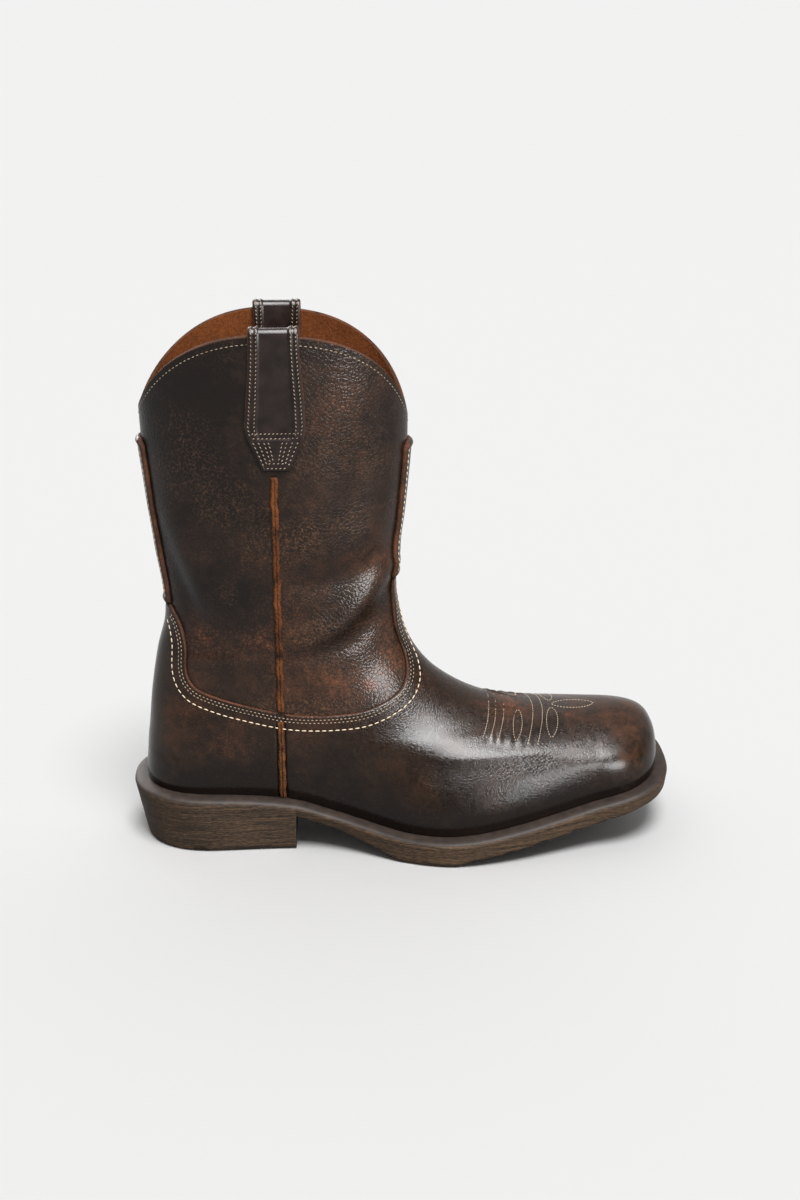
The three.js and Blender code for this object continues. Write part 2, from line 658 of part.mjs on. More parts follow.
const isHeel = (turn) => Math.min(turn, 1 - turn) < breastTurn;
function soleRing(inset, zOf) {
  return soleTurns.map((turn) => {
    const p = outlinePoint(turn, BACK_X - inset(turn));
    p.z = zOf(p.x, turn);
    return p;
  });
}
const bottomZ = (x, turn) => (isHeel(turn) ? 0 : soleBottomZ(x));
function taper(turn) {
  if (!isHeel(turn)) return SOLE_TAPER;
  const backness = Math.cos(2 * Math.PI * Math.min(turn, 1 - turn)) ** 8;
  return HEEL_SIDE_TAPER + (HEEL_TAPER - HEEL_SIDE_TAPER) * backness;
}
const outsoleBody = stackSolid([
  soleRing(() => SOLE_LIP, topZ),
  soleRing(() => 0.3 * SOLE_LIP, (x) => topZ(x) - 0.25 * SOLE_LIP),
  soleRing(() => 0, (x) => topZ(x) - SOLE_LIP),
  soleRing((turn) => taper(turn) * 0.8, (x, turn) => bottomZ(x, turn) + SOLE_BEVEL),
  soleRing((turn) => taper(turn) + 0.6 * SOLE_BEVEL, bottomZ),
]);
let outsole = outsoleBody.subtract(boxSolid(breastX + SOLE_BEVEL, FAR, -FAR, FAR, -FAR, 0));
for (const share of FOREFOOT_GROOVES) {
  const x = footX(share);
  const top = Math.max(soleBottomZ(x), 0) + TREAD_DEPTH;
  outsole = outsole.subtract(boxSolid(x - GROOVE_WIDTH / 2, x + GROOVE_WIDTH / 2, -FAR, FAR, -FAR, top));
}
for (const share of HEEL_GROOVES) {
  const x = footX(share);
  outsole = outsole.subtract(boxSolid(x - GROOVE_WIDTH, x + GROOVE_WIDTH, -FAR, FAR, -FAR, TREAD_DEPTH));
}

// Insole board, on the sole inside the upper.
const insoleTurns = Array.from({ length: SOLE_COLUMNS }, (_, i) => i / SOLE_COLUMNS);
function insoleRing(distance, rise) {
  return insoleTurns.map((turn) => {
    const p = outlinePoint(turn, -distance);
    p.z = featherZ(p.x) + rise;
    return p;
  });
}
const insole = stackSolid([insoleRing(WALL + 4 * GAP, INSOLE), insoleRing(WALL + 3 * GAP, 0)]);

const materials = {
  footLeather: new THREE.MeshStandardMaterial({ color: "#2e1f1a", roughness: 0.42, metalness: 0 }),
  shaftLeather: new THREE.MeshStandardMaterial({ color: "#35241c", roughness: 0.5, metalness: 0 }),
  stripLeather: new THREE.MeshStandardMaterial({ color: "#2a1d19", roughness: 0.45, metalness: 0 }),
  strapLeather: new THREE.MeshStandardMaterial({ color: "#2e2220", roughness: 0.4, metalness: 0 }),
  cordLeather: new THREE.MeshStandardMaterial({ color: "#7a421f", roughness: 0.75, metalness: 0 }),
  soleRubber: new THREE.MeshStandardMaterial({ color: "#4f4034", roughness: 0.7, metalness: 0 }),
  insoleBoard: new THREE.MeshStandardMaterial({ color: "#6b4a30", roughness: 0.85, metalness: 0 }),
};

const boot = new THREE.Group();
function addPart(name, solid, material) {
  const mesh = solid.getMesh();
  const positions = new Float32Array(mesh.numVert * 3);
  for (let i = 0; i < mesh.numVert; i++)
    positions.set(mesh.vertProperties.subarray(i * mesh.numProp, i * mesh.numProp + 3), i * 3);
  const geometry = new THREE.BufferGeometry();
  geometry.setAttribute("position", new THREE.BufferAttribute(positions, 3));
  geometry.setIndex(new THREE.BufferAttribute(new Uint32Array(mesh.triVerts), 1));
  geometry.computeVertexNormals();
  const part = new THREE.Mesh(geometry, material);
  part.name = name;
  boot.add(part);
}

addPart("outsole", outsole, materials.soleRubber);
addPart("insole", insole, materials.insoleBoard);
addPart("upper", upper, materials.shaftLeather);
addPart("vamp", vamp, materials.footLeather);
addPart("counter", counter, materials.footLeather);
addPart("front_strip", frontStrip, materials.stripLeather);
addPart("back_strip", backStrip, materials.stripLeather);
for (const [name, side] of [
  ["outer", -1],
  ["inner", 1],
]) {
  addPart(`shaft_cord_${name}`, seamCord(cordStart(side), cordEnd(side), side, SHAFT_CORD), materials.cordLeather);
  addPart(`foot_cord_${name}`, seamCord(0, footCordEnd(side), side, FOOT_CORD), materials.cordLeather);
  addPart(`pull_strap_${name}`, pullStrap(side), materials.strapLeather);
}

// The part's origin is under the middle of its bounding box.
const box = new THREE.Box3().setFromObject(boot);
boot.children.forEach((part) =>
  part.geometry.translate(-(box.min.x + box.max.x) / 2, -(box.min.y + box.max.y) / 2, -box.min.z),
);

export default boot;
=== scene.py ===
"""Western boot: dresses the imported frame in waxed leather, stitching, suede lining and moulded rubber."""

import math

import bpy
import numpy as np
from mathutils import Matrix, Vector


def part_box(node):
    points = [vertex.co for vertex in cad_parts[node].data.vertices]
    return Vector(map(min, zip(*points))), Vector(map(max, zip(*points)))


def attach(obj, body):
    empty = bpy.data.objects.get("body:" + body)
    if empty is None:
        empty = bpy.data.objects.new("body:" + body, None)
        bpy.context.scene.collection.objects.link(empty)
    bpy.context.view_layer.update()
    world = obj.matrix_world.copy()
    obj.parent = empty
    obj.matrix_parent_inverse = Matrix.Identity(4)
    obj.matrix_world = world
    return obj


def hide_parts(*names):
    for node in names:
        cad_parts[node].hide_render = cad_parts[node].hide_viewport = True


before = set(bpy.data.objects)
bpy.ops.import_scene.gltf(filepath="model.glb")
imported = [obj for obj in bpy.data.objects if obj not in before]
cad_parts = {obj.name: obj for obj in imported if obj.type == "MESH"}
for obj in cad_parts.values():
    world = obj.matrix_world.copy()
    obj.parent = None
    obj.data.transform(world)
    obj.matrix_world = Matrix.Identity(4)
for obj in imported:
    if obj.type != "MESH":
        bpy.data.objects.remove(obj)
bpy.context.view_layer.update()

bl_info = {
    "name": "Western boot",
    "version": (1, 0, 0),
    "blender": (4, 5, 0),
    "location": "View3D > Sidebar > Boot",
    "description": "Builds the leather, stitching, lining and sole of a western boot on its frame",
    "category": "Add Mesh",
}

MM = 0.001

# Sizes in millimetres. X runs from the back of the sole to the toe, -Y is the outer side, Z is up.
UPPER_LENGTH = 292.6
BALL_WIDTH = 98.4
HEEL_HEIGHT = 35.0
ANKLE_HEIGHT = 100.0
SHAFT_HEIGHT = 114.0
COLLAR_DEPTH = 144.6
COLLAR_WIDTH = 75.0
COLLAR_RISE = 47.5
WALL = 2.4
OVERLAY = 1.7
STRIP = 2.1
GAP = 0.3
SOLE_GAP = 0.45
SOLE_LEDGE = 7.4
SOLE_LIP = 3.2
SOLE_BEVEL = 1.6
TOE_RISE = 25.0
HEEL_TAPER = 6.0
HEEL_SIDE_TAPER = 1.5
SOLE_TAPER = 0.8
TREAD_DEPTH = 1.8
GROOVE_WIDTH = 4.0
TREAD_WEAR = 0.75
CORD_WIDTH = 4.0
SHAFT_CORD = 1.7
FOOT_CORD = 3.1
STRAP = 2.2
STRAP_GAP = 0.5
STRAP_RISE = 5.0
STRAP_WIDTH = 32.0
BACK_X = 2 * GAP + SOLE_LEDGE + OVERLAY
SHAFT_AXIS = 77 / 293.6
SEAM_X = 0.263

# Rings of the foot: front x, front z, back x, back z, half widths at heel, waist, ball and toe,
# front round, back round, front power, back power, swing.
FOOT_RINGS = np.array([
    [1.0, 0.0, 0.0, 0.0, 0.3, 0.279, 0.484, 0.391, 0.112, 0.122, 2.8, 2.3, 1],
    [1.003, 0.085, 0.0, 0.05, 0.315, 0.313, 0.5, 0.409, 0.122, 0.129, 2.6, 2.3, 1],
    [0.997, 0.2, 0.001, 0.11, 0.321, 0.329, 0.465, 0.388, 0.15, 0.136, 2.4, 2.2, 0.95],
    [0.976, 0.286, 0.003, 0.16, 0.323, 0.334, 0.42, 0.329, 0.238, 0.143, 2.2, 2.2, 0.9],
    [0.934, 0.329, 0.004, 0.205, 0.323, 0.336, 0.395, 0.305, 0.402, 0.15, 2, 2.1, 0.8],
    [0.855, 0.341, 0.006, 0.255, 0.321, 0.336, 0.385, 0.244, 0.443, 0.153, 2, 2.1, 0.7],
    [0.765, 0.35, 0.009, 0.315, 0.317, 0.336, 0.385, 0.244, 0.416, 0.157, 2, 2.1, 0.6],
    [0.683, 0.4, 0.012, 0.395, 0.31, 0.334, 0.388, 0.305, 0.381, 0.16, 2, 2.1, 0.45],
    [0.612, 0.49, 0.016, 0.5, 0.299, 0.332, 0.378, 0.305, 0.341, 0.163, 2, 2, 0.3],
    [0.55, 0.623, 0.023, 0.63, 0.291, 0.331, 0.369, 0.305, 0.307, 0.17, 2, 2, 0.2],
    [0.507, 0.8, 0.034, 0.79, 0.293, 0.335, 0.352, 0.305, 0.272, 0.177, 2, 2, 0.1],
])
# Rings of the shaft: front x, front z, back x, back z, half widths at heel, waist and ball,
# front round, back round, rise.
SHAFT_RINGS = np.array([
    [0.454, 0.013, -0.429, -0.022, 0.403, 0.453, 0.467, 0.484, 0.387, 0],
    [0.445, 0.197, -0.429, 0.153, 0.432, 0.475, 0.483, 0.45, 0.415, 0.04],
    [0.463, 0.408, -0.454, 0.364, 0.469, 0.491, 0.496, 0.456, 0.443, 0.18],
    [0.483, 0.627, -0.479, 0.61, 0.491, 0.5, 0.501, 0.477, 0.47, 0.42],
    [0.497, 0.82, -0.497, 0.838, 0.495, 0.495, 0.496, 0.498, 0.498, 0.72],
    [0.5, 0.978, -0.5, 1.035, 0.489, 0.487, 0.489, 0.498, 0.498, 1],
])
STATIONS = np.array([0.122, 0.352, 0.59, 0.873])
FEATHER_LINE = np.array([
    [0, 1], [0.17, 0.945], [0.29, 0.824], [0.36, 0.66], [0.479, 0.474], [0.554, 0.451],
    [0.633, 0.486], [0.711, 0.566], [0.81, 0.691], [0.905, 0.84], [1, 1],
])
SWING_LINE = np.array([
    [0, 0], [0.17, 0], [0.35, -0.025], [0.565, -0.051], [0.7, -0.025], [0.871, 0.041], [1, 0.091],
])
HEEL_BREAST = 0.286
SOLE_BOTTOM = np.array([
    [HEEL_BREAST, 0.85], [0.335, 0.68], [0.378, 0.52], [0.415, 0.36], [0.45, 0.19], [0.482, 0.03],
    [0.497, 0], [0.58, 0], [0.61, 0.09], [0.66, 0.2], [0.71, 0.29], [0.76, 0.39], [0.81, 0.49],
    [0.86, 0.6], [0.92, 0.78], [0.97, 0.92], [1.03, 1.02],
])
SEAT_FADE = 6
COLLAR_SOFT = 0.12

# Edge of the foot leather over the shaft, as the solids have it: x as a share of the boot's depth at
# that height, from its back line, and z in ankle heights above the heel's seat.
PANEL_EDGE = np.array([
    [0.01, 1.06], [0.029, 1.046], [0.047, 1.014], [0.073, 0.945], [0.1, 0.866], [0.112, 0.78],
    [0.113, 0.71], [0.129, 0.656], [0.16, 0.613], [0.234, 0.573], [0.319, 0.532], [0.394, 0.498],
    [0.442, 0.482], [0.508, 0.475], [0.593, 0.478], [0.673, 0.491], [0.76, 0.526], [0.847, 0.574],
    [0.914, 0.634], [0.958, 0.715], [0.972, 0.82], [0.969, 0.92], [0.984, 1.024], [0.988, 1.13],
    [0.985, 1.2],
])
COUNTER_TOP = HEEL_HEIGHT + ANKLE_HEIGHT * PANEL_EDGE[0, 1]
TONGUE_TOP = HEEL_HEIGHT + ANKLE_HEIGHT * PANEL_EDGE[-1, 1]

# Soft folds of the shaft and vamp: a path in x and z, height of the ridge (or depth), half width.
FOLDS = [
    ([(150, 168), (146.8, 164.3), (134.6, 149.8), (120.5, 136.5), (105, 128.4), (90, 124)], 3.2, 6.8),
    ([(153, 180), (137, 169.3), (122.3, 163.8), (105.6, 160.1), (91, 160.7)], -1.7, 8.5),
    ([(151, 155), (141.2, 136.3), (128, 124), (111, 118.9), (92, 117.2)], -1.3, 5.5),
    ([(27, 206), (35.1, 188.7), (42.5, 168.2), (46.9, 149.3), (52, 138)], 1.3, 8.5),
    ([(22, 190), (32.5, 162.4), (38.3, 147), (43, 134)], -1.5, 5.5),
    ([(36, 110), (52, 113.3), (68.8, 114.1), (86, 112)], 0.9, 5.0),
    ([(36, 117.4), (52, 120.4), (69.1, 120.6), (86, 118)], -0.45, 3.5),
    ([(56, 130.4), (69.2, 126.7), (84, 122.4)], 0.7, 3.5),
    ([(150, 238), (146, 214), (140, 188), (133, 172)], 1.2, 9.0),
    ([(134, 240), (130, 215), (124, 190)], -0.9, 10.0),
    ([(60, 262), (52, 235), (50, 205), (58, 178)], -0.8, 14.0),
]


def cubic(t, start, end, leave, arrive):
    """Cubic from start at t 0 to end at t 1, which leaves and arrives with these slopes."""
    return (
        (2 * t**3 - 3 * t**2 + 1) * start + (t**3 - 2 * t**2 + t) * leave
        + (3 * t**2 - 2 * t**3) * end + (t**3 - t**2) * arrive
    )


def curve_through(xs, ys, x):
    """Cubic through the points (xs, ys) with each slope that between a point's neighbours, and straight
    beyond the ends. ys may hold several columns."""
    xs, ys = np.asarray(xs, float), np.asarray(ys, float)
    many = ys.ndim == 2
    last = len(xs) - 1
    before = np.maximum(np.arange(last + 1) - 1, 0)
    after = np.minimum(np.arange(last + 1) + 1, last)
    run = xs[after] - xs[before]
    slope = (ys[after] - ys[before]) / (run[:, None] if many else run)
    x = np.asarray(x, float)
    i = np.clip(np.searchsorted(xs, x) - 1, 0, last - 1)
    h = xs[i + 1] - xs[i]
    t = np.clip((x - xs[i]) / h, 0, 1)
    over = np.where(x < xs[0], x - xs[0], np.where(x > xs[-1], x - xs[-1], 0))
    if many:
        h, t, over = h[..., None], t[..., None], over[..., None]
    inside = cubic(t, ys[i], ys[i + 1], h * slope[i], h * slope[i + 1])
    return inside + over * np.where(over < 0, slope[0], slope[-1])


def foot_x(share):
    """X at this share of the upper's length."""
    return BACK_X + np.asarray(share) * UPPER_LENGTH


def foot_z(share):
    """Height at this share of the ankle's height, from the heel's seat."""
    return HEEL_HEIGHT + np.asarray(share) * ANKLE_HEIGHT


def shaft_z(share):
    """Height at this share of the shaft's height, from the ankle."""
    return HEEL_HEIGHT + ANKLE_HEIGHT + np.asarray(share) * SHAFT_HEIGHT


def all_rings():
    """The two tables of shares as one table of millimetres: front x, front z, back x, back z, four half
    widths, two rounds, two powers, swing, rise."""
    foot, shaft = FOOT_RINGS, SHAFT_RINGS
    low = np.column_stack([
        foot_x(foot[:, 0]), foot_z(foot[:, 1]), foot_x(foot[:, 2]), foot_z(foot[:, 3]),
        foot[:, 4:8] * BALL_WIDTH, foot[:, 8:10] * UPPER_LENGTH, foot[:, 10:13], 0 * foot[:, 0],
    ])
    axis = foot_x(SHAFT_AXIS)
    two = np.full(len(shaft), 2.0)
    high = np.column_stack([
        axis + shaft[:, 0] * COLLAR_DEPTH, shaft_z(shaft[:, 1]),
        axis + shaft[:, 2] * COLLAR_DEPTH, shaft_z(shaft[:, 3]),
        shaft[:, 4:7] * COLLAR_WIDTH, two * 0.2 * COLLAR_WIDTH, shaft[:, 7:9] * COLLAR_DEPTH,
        two, two, 0 * two, shaft[:, 9],
    ])
    return np.vstack([low, high])


RINGS = all_rings()
RING_NUMBERS = np.arange(len(RINGS), dtype=float)
TOP = RING_NUMBERS[-1]
STATION_X = foot_x(STATIONS)


def feather_z(x):
    """Height of the line where the upper meets the sole."""
    return curve_through(foot_x(FEATHER_LINE[:, 0]), FEATHER_LINE[:, 1] * HEEL_HEIGHT, x)


def swing_y(x):
    """Sideways swing of the foot's middle line."""
    return curve_through(foot_x(SWING_LINE[:, 0]), SWING_LINE[:, 1] * BALL_WIDTH, x)


def rounded_end(t, power):
    """Share of the full width at t of the way into a rounded end: (1 - (1 - t)^power)^(1 / power)."""
    return (1 - (1 - np.clip(t, 0, 1)) ** power) ** (1 / power)


def width_at(x, widths):
    """Half width at x, cubic through the four stations' half widths (last axis of widths)."""
    xs = STATION_X
    x = np.clip(x, xs[0], xs[-1])
    slopes = np.stack([
        (widths[..., 1] - widths[..., 0]) / (xs[1] - xs[0]),
        (widths[..., 2] - widths[..., 0]) / (xs[2] - xs[0]),
        (widths[..., 3] - widths[..., 1]) / (xs[3] - xs[1]),
        (widths[..., 3] - widths[..., 2]) / (xs[3] - xs[2]),
    ], -1)
    i = np.clip(np.searchsorted(xs, x) - 1, 0, 2)
    h = xs[i + 1] - xs[i]
    t = (x - xs[i]) / h

    def pick(table, column):
        return np.take_along_axis(table, column[..., None], -1)[..., 0]

    return cubic(t, pick(widths, i), pick(widths, i + 1), h * pick(slopes, i), h * pick(slopes, i + 1))


def upper_point(level, turn):
    """The upper's outer surface. Level counts rings from the sole and turn goes once round from the back
    along the outer side: x runs from the ring's back to its front as (1 - cos 2 pi turn) / 2, y is the
    swing of the foot plus or minus the half width closed at both rounded ends, and z is the straight line
    from back to front, plus the sole's curve fading upwards, plus the collar's rise."""
    level, turn = np.broadcast_arrays(np.asarray(level, float), np.asarray(turn, float))
    ring = curve_through(RING_NUMBERS, RINGS, level)
    front_x, front_z, back_x, back_z = (ring[..., k] for k in range(4))
    along = (1 - np.cos(2 * np.pi * turn)) / 2
    x = back_x + (front_x - back_x) * along
    side = np.where(turn % 1 <= 0.5, -1.0, 1.0)
    closing = rounded_end((front_x - x) / ring[..., 8], ring[..., 10]) * rounded_end(
        (x - back_x) / ring[..., 9], ring[..., 11]
    )
    y = swing_y(x) * ring[..., 12] + side * width_at(x, ring[..., 4:8]) * closing
    seat = np.maximum(1 - level / SEAT_FADE, 0) ** 1.6
    off = (x - (front_x + back_x) / 2) / ((front_x - back_x) / 2)
    power, root = np.where(off > 0, 2.7, 2.15), np.where(off > 0, 0.52, 0.6)
    steep = np.maximum(1 - np.abs(off) ** power, 0) ** root
    rise = (np.hypot(steep, COLLAR_SOFT) - COLLAR_SOFT) / (math.hypot(1, COLLAR_SOFT) - COLLAR_SOFT)
    z = back_z + (front_z - back_z) * along + (feather_z(x) - HEEL_HEIGHT) * seat
    return np.stack([x, y, z + COLLAR_RISE * ring[..., 13] * rise], -1)


def unit(vector):
    """Each vector divided by its length."""
    return vector / (np.linalg.norm(vector, axis=-1, keepdims=True) + 1e-12)


def upper_normal(level, turn):
    """Outward direction of the surface: the cross product of its steps around and upwards. Its upward
    share fades to nothing at the sole, where it is level."""
    level, turn = np.broadcast_arrays(np.asarray(level, float), np.asarray(turn, float))
    around = upper_point(level, turn + 0.002) - upper_point(level, turn - 0.002)
    upward = upper_point(np.minimum(level + 0.02, TOP), turn) - upper_point(np.maximum(level - 0.02, 0), turn)
    normal = unit(np.cross(around, upward))
    fade = np.clip(level / 0.8, 0, 1)
    normal[..., 2] *= fade * fade * (3 - 2 * fade)
    return unit(normal)


def fold_height(point):
    """Height of the folds at a point: for each fold, its height times a bell of the distance to its path
    in x and z, fading in and out along the path, plus two long shallow waves of the shaft."""
    x, z = point[..., 0], point[..., 2]
    total = np.zeros_like(x)
    for path, height, half_width in FOLDS:
        path = np.array(path, float)
        nearest = np.full_like(x, 1e9)
        along = np.zeros_like(x)
        for k in range(len(path) - 1):
            (ax, az), (bx, bz) = path[k], path[k + 1]
            length2 = (bx - ax) ** 2 + (bz - az) ** 2
            t = np.clip(((x - ax) * (bx - ax) + (z - az) * (bz - az)) / length2, 0, 1)
            distance = np.hypot(x - ax - t * (bx - ax), z - az - t * (bz - az))
            closer = distance < nearest
            nearest = np.where(closer, distance, nearest)
            along = np.where(closer, (k + t) / (len(path) - 1), along)
        fade = np.sin(np.pi * np.clip(along, 0.02, 0.98)) ** 0.5
        total += height * np.exp(-((nearest / half_width) ** 2)) * fade
    shaft = np.clip((z - 95) / 40, 0, 1) * np.clip((290 - z) / 40, 0, 1)
    wave = np.sin(x / 15 + z / 34 + 0.8) * np.sin(z / 19 - x / 41) + 0.6 * np.sin(x / 9.5 - z / 23)
    return (total + 0.4 * shaft * wave) * bpy.context.scene.boot_sizes.folds


def surface(level, turn, distance):
    """A point at this distance from the upper's surface, along its outward direction, with the folds."""
    point = upper_point(level, turn)
    normal = upper_normal(level, turn)
    lift = np.asarray(distance, float) + fold_height(point)
    moved = point + normal * lift[..., None]
    # The lowest part of the surface keeps to the line where the upper meets the sole.
    low = np.clip(np.broadcast_to(level, moved.shape[:-1]) / 0.3, 0, 1)
    seated = feather_z(moved[..., 0]) * (1 - low) + moved[..., 2] * low
    moved[..., 2] = np.where(low < 1, seated, moved[..., 2])
    return moved


def turn_at_x(level, x, side):
    """Turn at which the surface has this x on the outer (side -1) or inner side."""
    ring = curve_through(RING_NUMBERS, RINGS[:, :4], level)
    along = np.clip((x - ring[..., 2]) / (ring[..., 0] - ring[..., 2]), 0, 1)
    turn = np.arccos(1 - 2 * along) / (2 * np.pi)
    return np.where(np.asarray(side) < 0, turn, 1 - turn)


def halved(test, low, high, steps=24):
    """Bisection on arrays: the place between low and high where test turns false."""
    for _ in range(steps):
        middle = (low + high) / 2
        below = test(middle)
        low, high = np.where(below, middle, low), np.where(below, high, middle)
    return (low + high) / 2


def level_at(x, z, side):
    """Level at which the surface has this x and z on the outer (side -1) or inner side."""
    x, z = np.broadcast_arrays(np.asarray(x, float), np.asarray(z, float))
    return halved(lambda m: upper_point(m, turn_at_x(m, x, side))[..., 2] < z, 0 * x, TOP + 0 * x)


def level_on_line(z, turn):
    """Level at which the surface has this height on the line of one turn."""
    z, turn = np.broadcast_arrays(np.asarray(z, float), np.asarray(turn, float))
    return halved(lambda m: upper_point(m, turn)[..., 2] < z, 0 * z, TOP + 0 * z)


def walk(level, turn, heading, distance, steps=12):
    """Walks over the surface from (level, turn) along a heading by a distance in millimetres: at each step
    the heading is laid into the surface and turned into steps of level and turn by its two edges."""
    level, turn = np.array(level, float), np.array(turn, float)
    step = np.asarray(distance, float)[..., None] / steps
    # Half the spans of level and turn that the edges are measured over.
    a, b = 0.01, 0.0008
    for _ in range(steps):
        here = upper_point(level, turn)
        up = (upper_point(level + a, turn) - upper_point(level - a, turn)) / (2 * a)
        around = (upper_point(level, turn + b) - upper_point(level, turn - b)) / (2 * b)
        want = heading(here, unit(np.cross(around, up))) * step
        aa, bb, ab = (up * up).sum(-1), (around * around).sum(-1), (up * around).sum(-1)
        aw, bw = (up * want).sum(-1), (around * want).sum(-1)
        det = aa * bb - ab * ab + 1e-9
        level = np.clip(level + (aw * bb - bw * ab) / det, 0, TOP)
        turn = turn + (bw * aa - aw * ab) / det
    return level, turn


def beside(level, turn, distance):
    """The line that runs at a distance beside a line on the surface, on its left seen from outside."""
    point = upper_point(level, turn)
    tangent = unit(np.gradient(point, axis=0))
    distance = distance + 0 * point[..., 0]
    return walk(level, turn, lambda here, normal: unit(np.cross(normal, tangent)), distance)


# The part's frame: the boot's own x starts at the back of the sole, and y 0 is the shaft's middle.
OUTSOLE_LOW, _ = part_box("outsole")
STRAP_LOW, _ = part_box("pull_strap_outer")
_, STRAP_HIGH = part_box("pull_strap_inner")
SHIFT = np.array([OUTSOLE_LOW[0], (STRAP_LOW[1] + STRAP_HIGH[1]) / 2, 0.0])


def edge_line():
    """The panel edge on the outer side as dense turns and levels, from back to front. Turns never
    run backwards, so that the edge is one level for each turn, and steep stretches are softened."""
    z = foot_z(PANEL_EDGE[:, 1])
    back = upper_point(level_on_line(z, 0 * z), 0 * z)[:, 0]
    front = upper_point(level_on_line(z, 0 * z + 0.5), 0 * z + 0.5)[:, 0]
    line = np.stack([back + PANEL_EDGE[:, 0] * (front - back), z], -1)
    run = np.concatenate([[0], np.cumsum(np.hypot(*np.diff(line, axis=0).T))])
    dense = curve_through(run, line, np.linspace(0, run[-1], 300))
    level = level_at(dense[:, 0], dense[:, 1], -1)
    turn = np.maximum.accumulate(turn_at_x(level, dense[:, 0], -1))
    soft = np.convolve(np.pad(turn, 8, mode="edge"), np.full(17, 1 / 17), mode="valid")
    return soft + np.linspace(0, 0.0005, len(soft)), level


EDGE_TURN, EDGE_LEVEL = edge_line()
TABLE_TURN = np.linspace(0, 0.5, 500)
TABLE_BACK = level_on_line(COUNTER_TOP, TABLE_TURN)
TABLE_FRONT = level_on_line(TONGUE_TOP, TABLE_TURN)


def panel_top(turn):
    """Level of the foot leather's upper edge at this turn: level tops at back and front, and the panel
    edge between them."""
    near = np.where(turn % 1 <= 0.5, turn % 1, 1 - turn % 1)
    between = np.interp(near, EDGE_TURN, EDGE_LEVEL)
    back = np.interp(near, TABLE_TURN, TABLE_BACK)
    front = np.interp(near, TABLE_TURN, TABLE_FRONT)
    return np.where(near < EDGE_TURN[0], back, np.where(near > EDGE_TURN[-1], front, between))


# Meshes

def grid_quads(index):
    """Four-sided faces of a grid of vertex numbers, row by row."""
    return np.stack([index[:-1, :-1], index[:-1, 1:], index[1:, 1:], index[1:, :-1]], -1).reshape(-1, 4)


def wrapped(index):
    """A grid of vertex numbers with its first column repeated at the end."""
    return np.column_stack([index, index[:, 0]])


def closed_quads(rows, columns, wraps):
    """Faces of two grids laid back to back, outer first, joined along every free edge."""
    count = rows * columns
    index = np.arange(count).reshape(rows, columns)
    if wraps:
        index = wrapped(index)
    outer = grid_quads(index)
    inner = outer[:, [0, 3, 2, 1]] + count
    low = np.stack([index[0, 1:], index[0, :-1], index[0, :-1] + count, index[0, 1:] + count], -1)
    high = np.stack([index[-1, :-1], index[-1, 1:], index[-1, 1:] + count, index[-1, :-1] + count], -1)
    faces, kinds = [outer, inner, low, high], [0, 1, 2, 3]
    if not wraps:
        left = np.stack([index[:-1, 0], index[1:, 0], index[1:, 0] + count, index[:-1, 0] + count], -1)
        right = np.stack([index[1:, -1], index[:-1, -1], index[:-1, -1] + count, index[1:, -1] + count], -1)
        faces += [left, right]
        kinds += [4, 5]
    return np.vstack(faces), np.repeat(kinds, [len(f) for f in faces])


def new_mesh(name, points, quads, uv=None, fields=None, slots=None, materials=()):
    """A mesh object from points in the boot's own millimetres and four-sided faces (a repeated last corner
    makes a triangle), turned to face outwards when its volume comes out negative."""
    corners = points[quads]
    volume = np.einsum("ij,ij->i", corners[:, 0], np.cross(corners[:, 1], corners[:, 2])).sum()
    volume += np.einsum("ij,ij->i", corners[:, 0], np.cross(corners[:, 2], corners[:, 3])).sum()
    if volume < 0:
        quads = np.column_stack([quads[:, 0], quads[:, 3], quads[:, 2], quads[:, 1]])
    # The turned order moves a triangle's repeated corner to the second place.
    keep = np.ones_like(quads, bool)
    keep[:, 3] = (quads[:, 3] != quads[:, 2]) & (quads[:, 3] != quads[:, 0])
    keep[:, 1] = (quads[:, 1] != quads[:, 2]) | ~keep[:, 3]
    sizes = keep.sum(1)
    loops = quads[keep]
    mesh = bpy.data.meshes.new(name)
    mesh.vertices.add(len(points))
    mesh.vertices.foreach_set("co", ((points * MM) + SHIFT).astype(np.float32).ravel())
    mesh.loops.add(len(loops))
    mesh.loops.foreach_set("vertex_index", loops.astype(np.int32))
    mesh.polygons.add(len(quads))
    mesh.polygons.foreach_set("loop_start", np.concatenate([[0], np.cumsum(sizes)[:-1]]).astype(np.int32))
    for material in materials:
        mesh.materials.append(material)
    if slots is not None:
        mesh.polygons.foreach_set("material_index", np.asarray(slots, np.int32))
    mesh.polygons.foreach_set("use_smooth", np.ones(len(quads), bool))
    if uv is not None:
        layer = mesh.uv_layers.new(name="UVMap")
        layer.data.foreach_set("uv", uv[loops].astype(np.float32).ravel())
    for field, values in (fields or {}).items():
        mesh.attributes.new(field, "FLOAT", "POINT").data.foreach_set("value", values.astype(np.float32))
    mesh.update(calc_edges=True)
    mesh.validate()
    piece = bpy.data.objects.new(name, mesh)
    bpy.context.scene.collection.objects.link(piece)
    return piece


def softbox_group():
    """The collection of everything that the softboxes light: the boot without the floor."""
    return bpy.data.collections.get("softbox_lit") or bpy.data.collections.new("softbox_lit")


def finish(piece, slot, *nodes):
    """Puts a piece on the boot's one body and in the softboxes' light, and hides the CAD nodes that it
    stands for. slot is not used."""
    softbox_group().objects.link(piece)
    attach(piece, "root")
    if nodes:
        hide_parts(*nodes)
    return piece


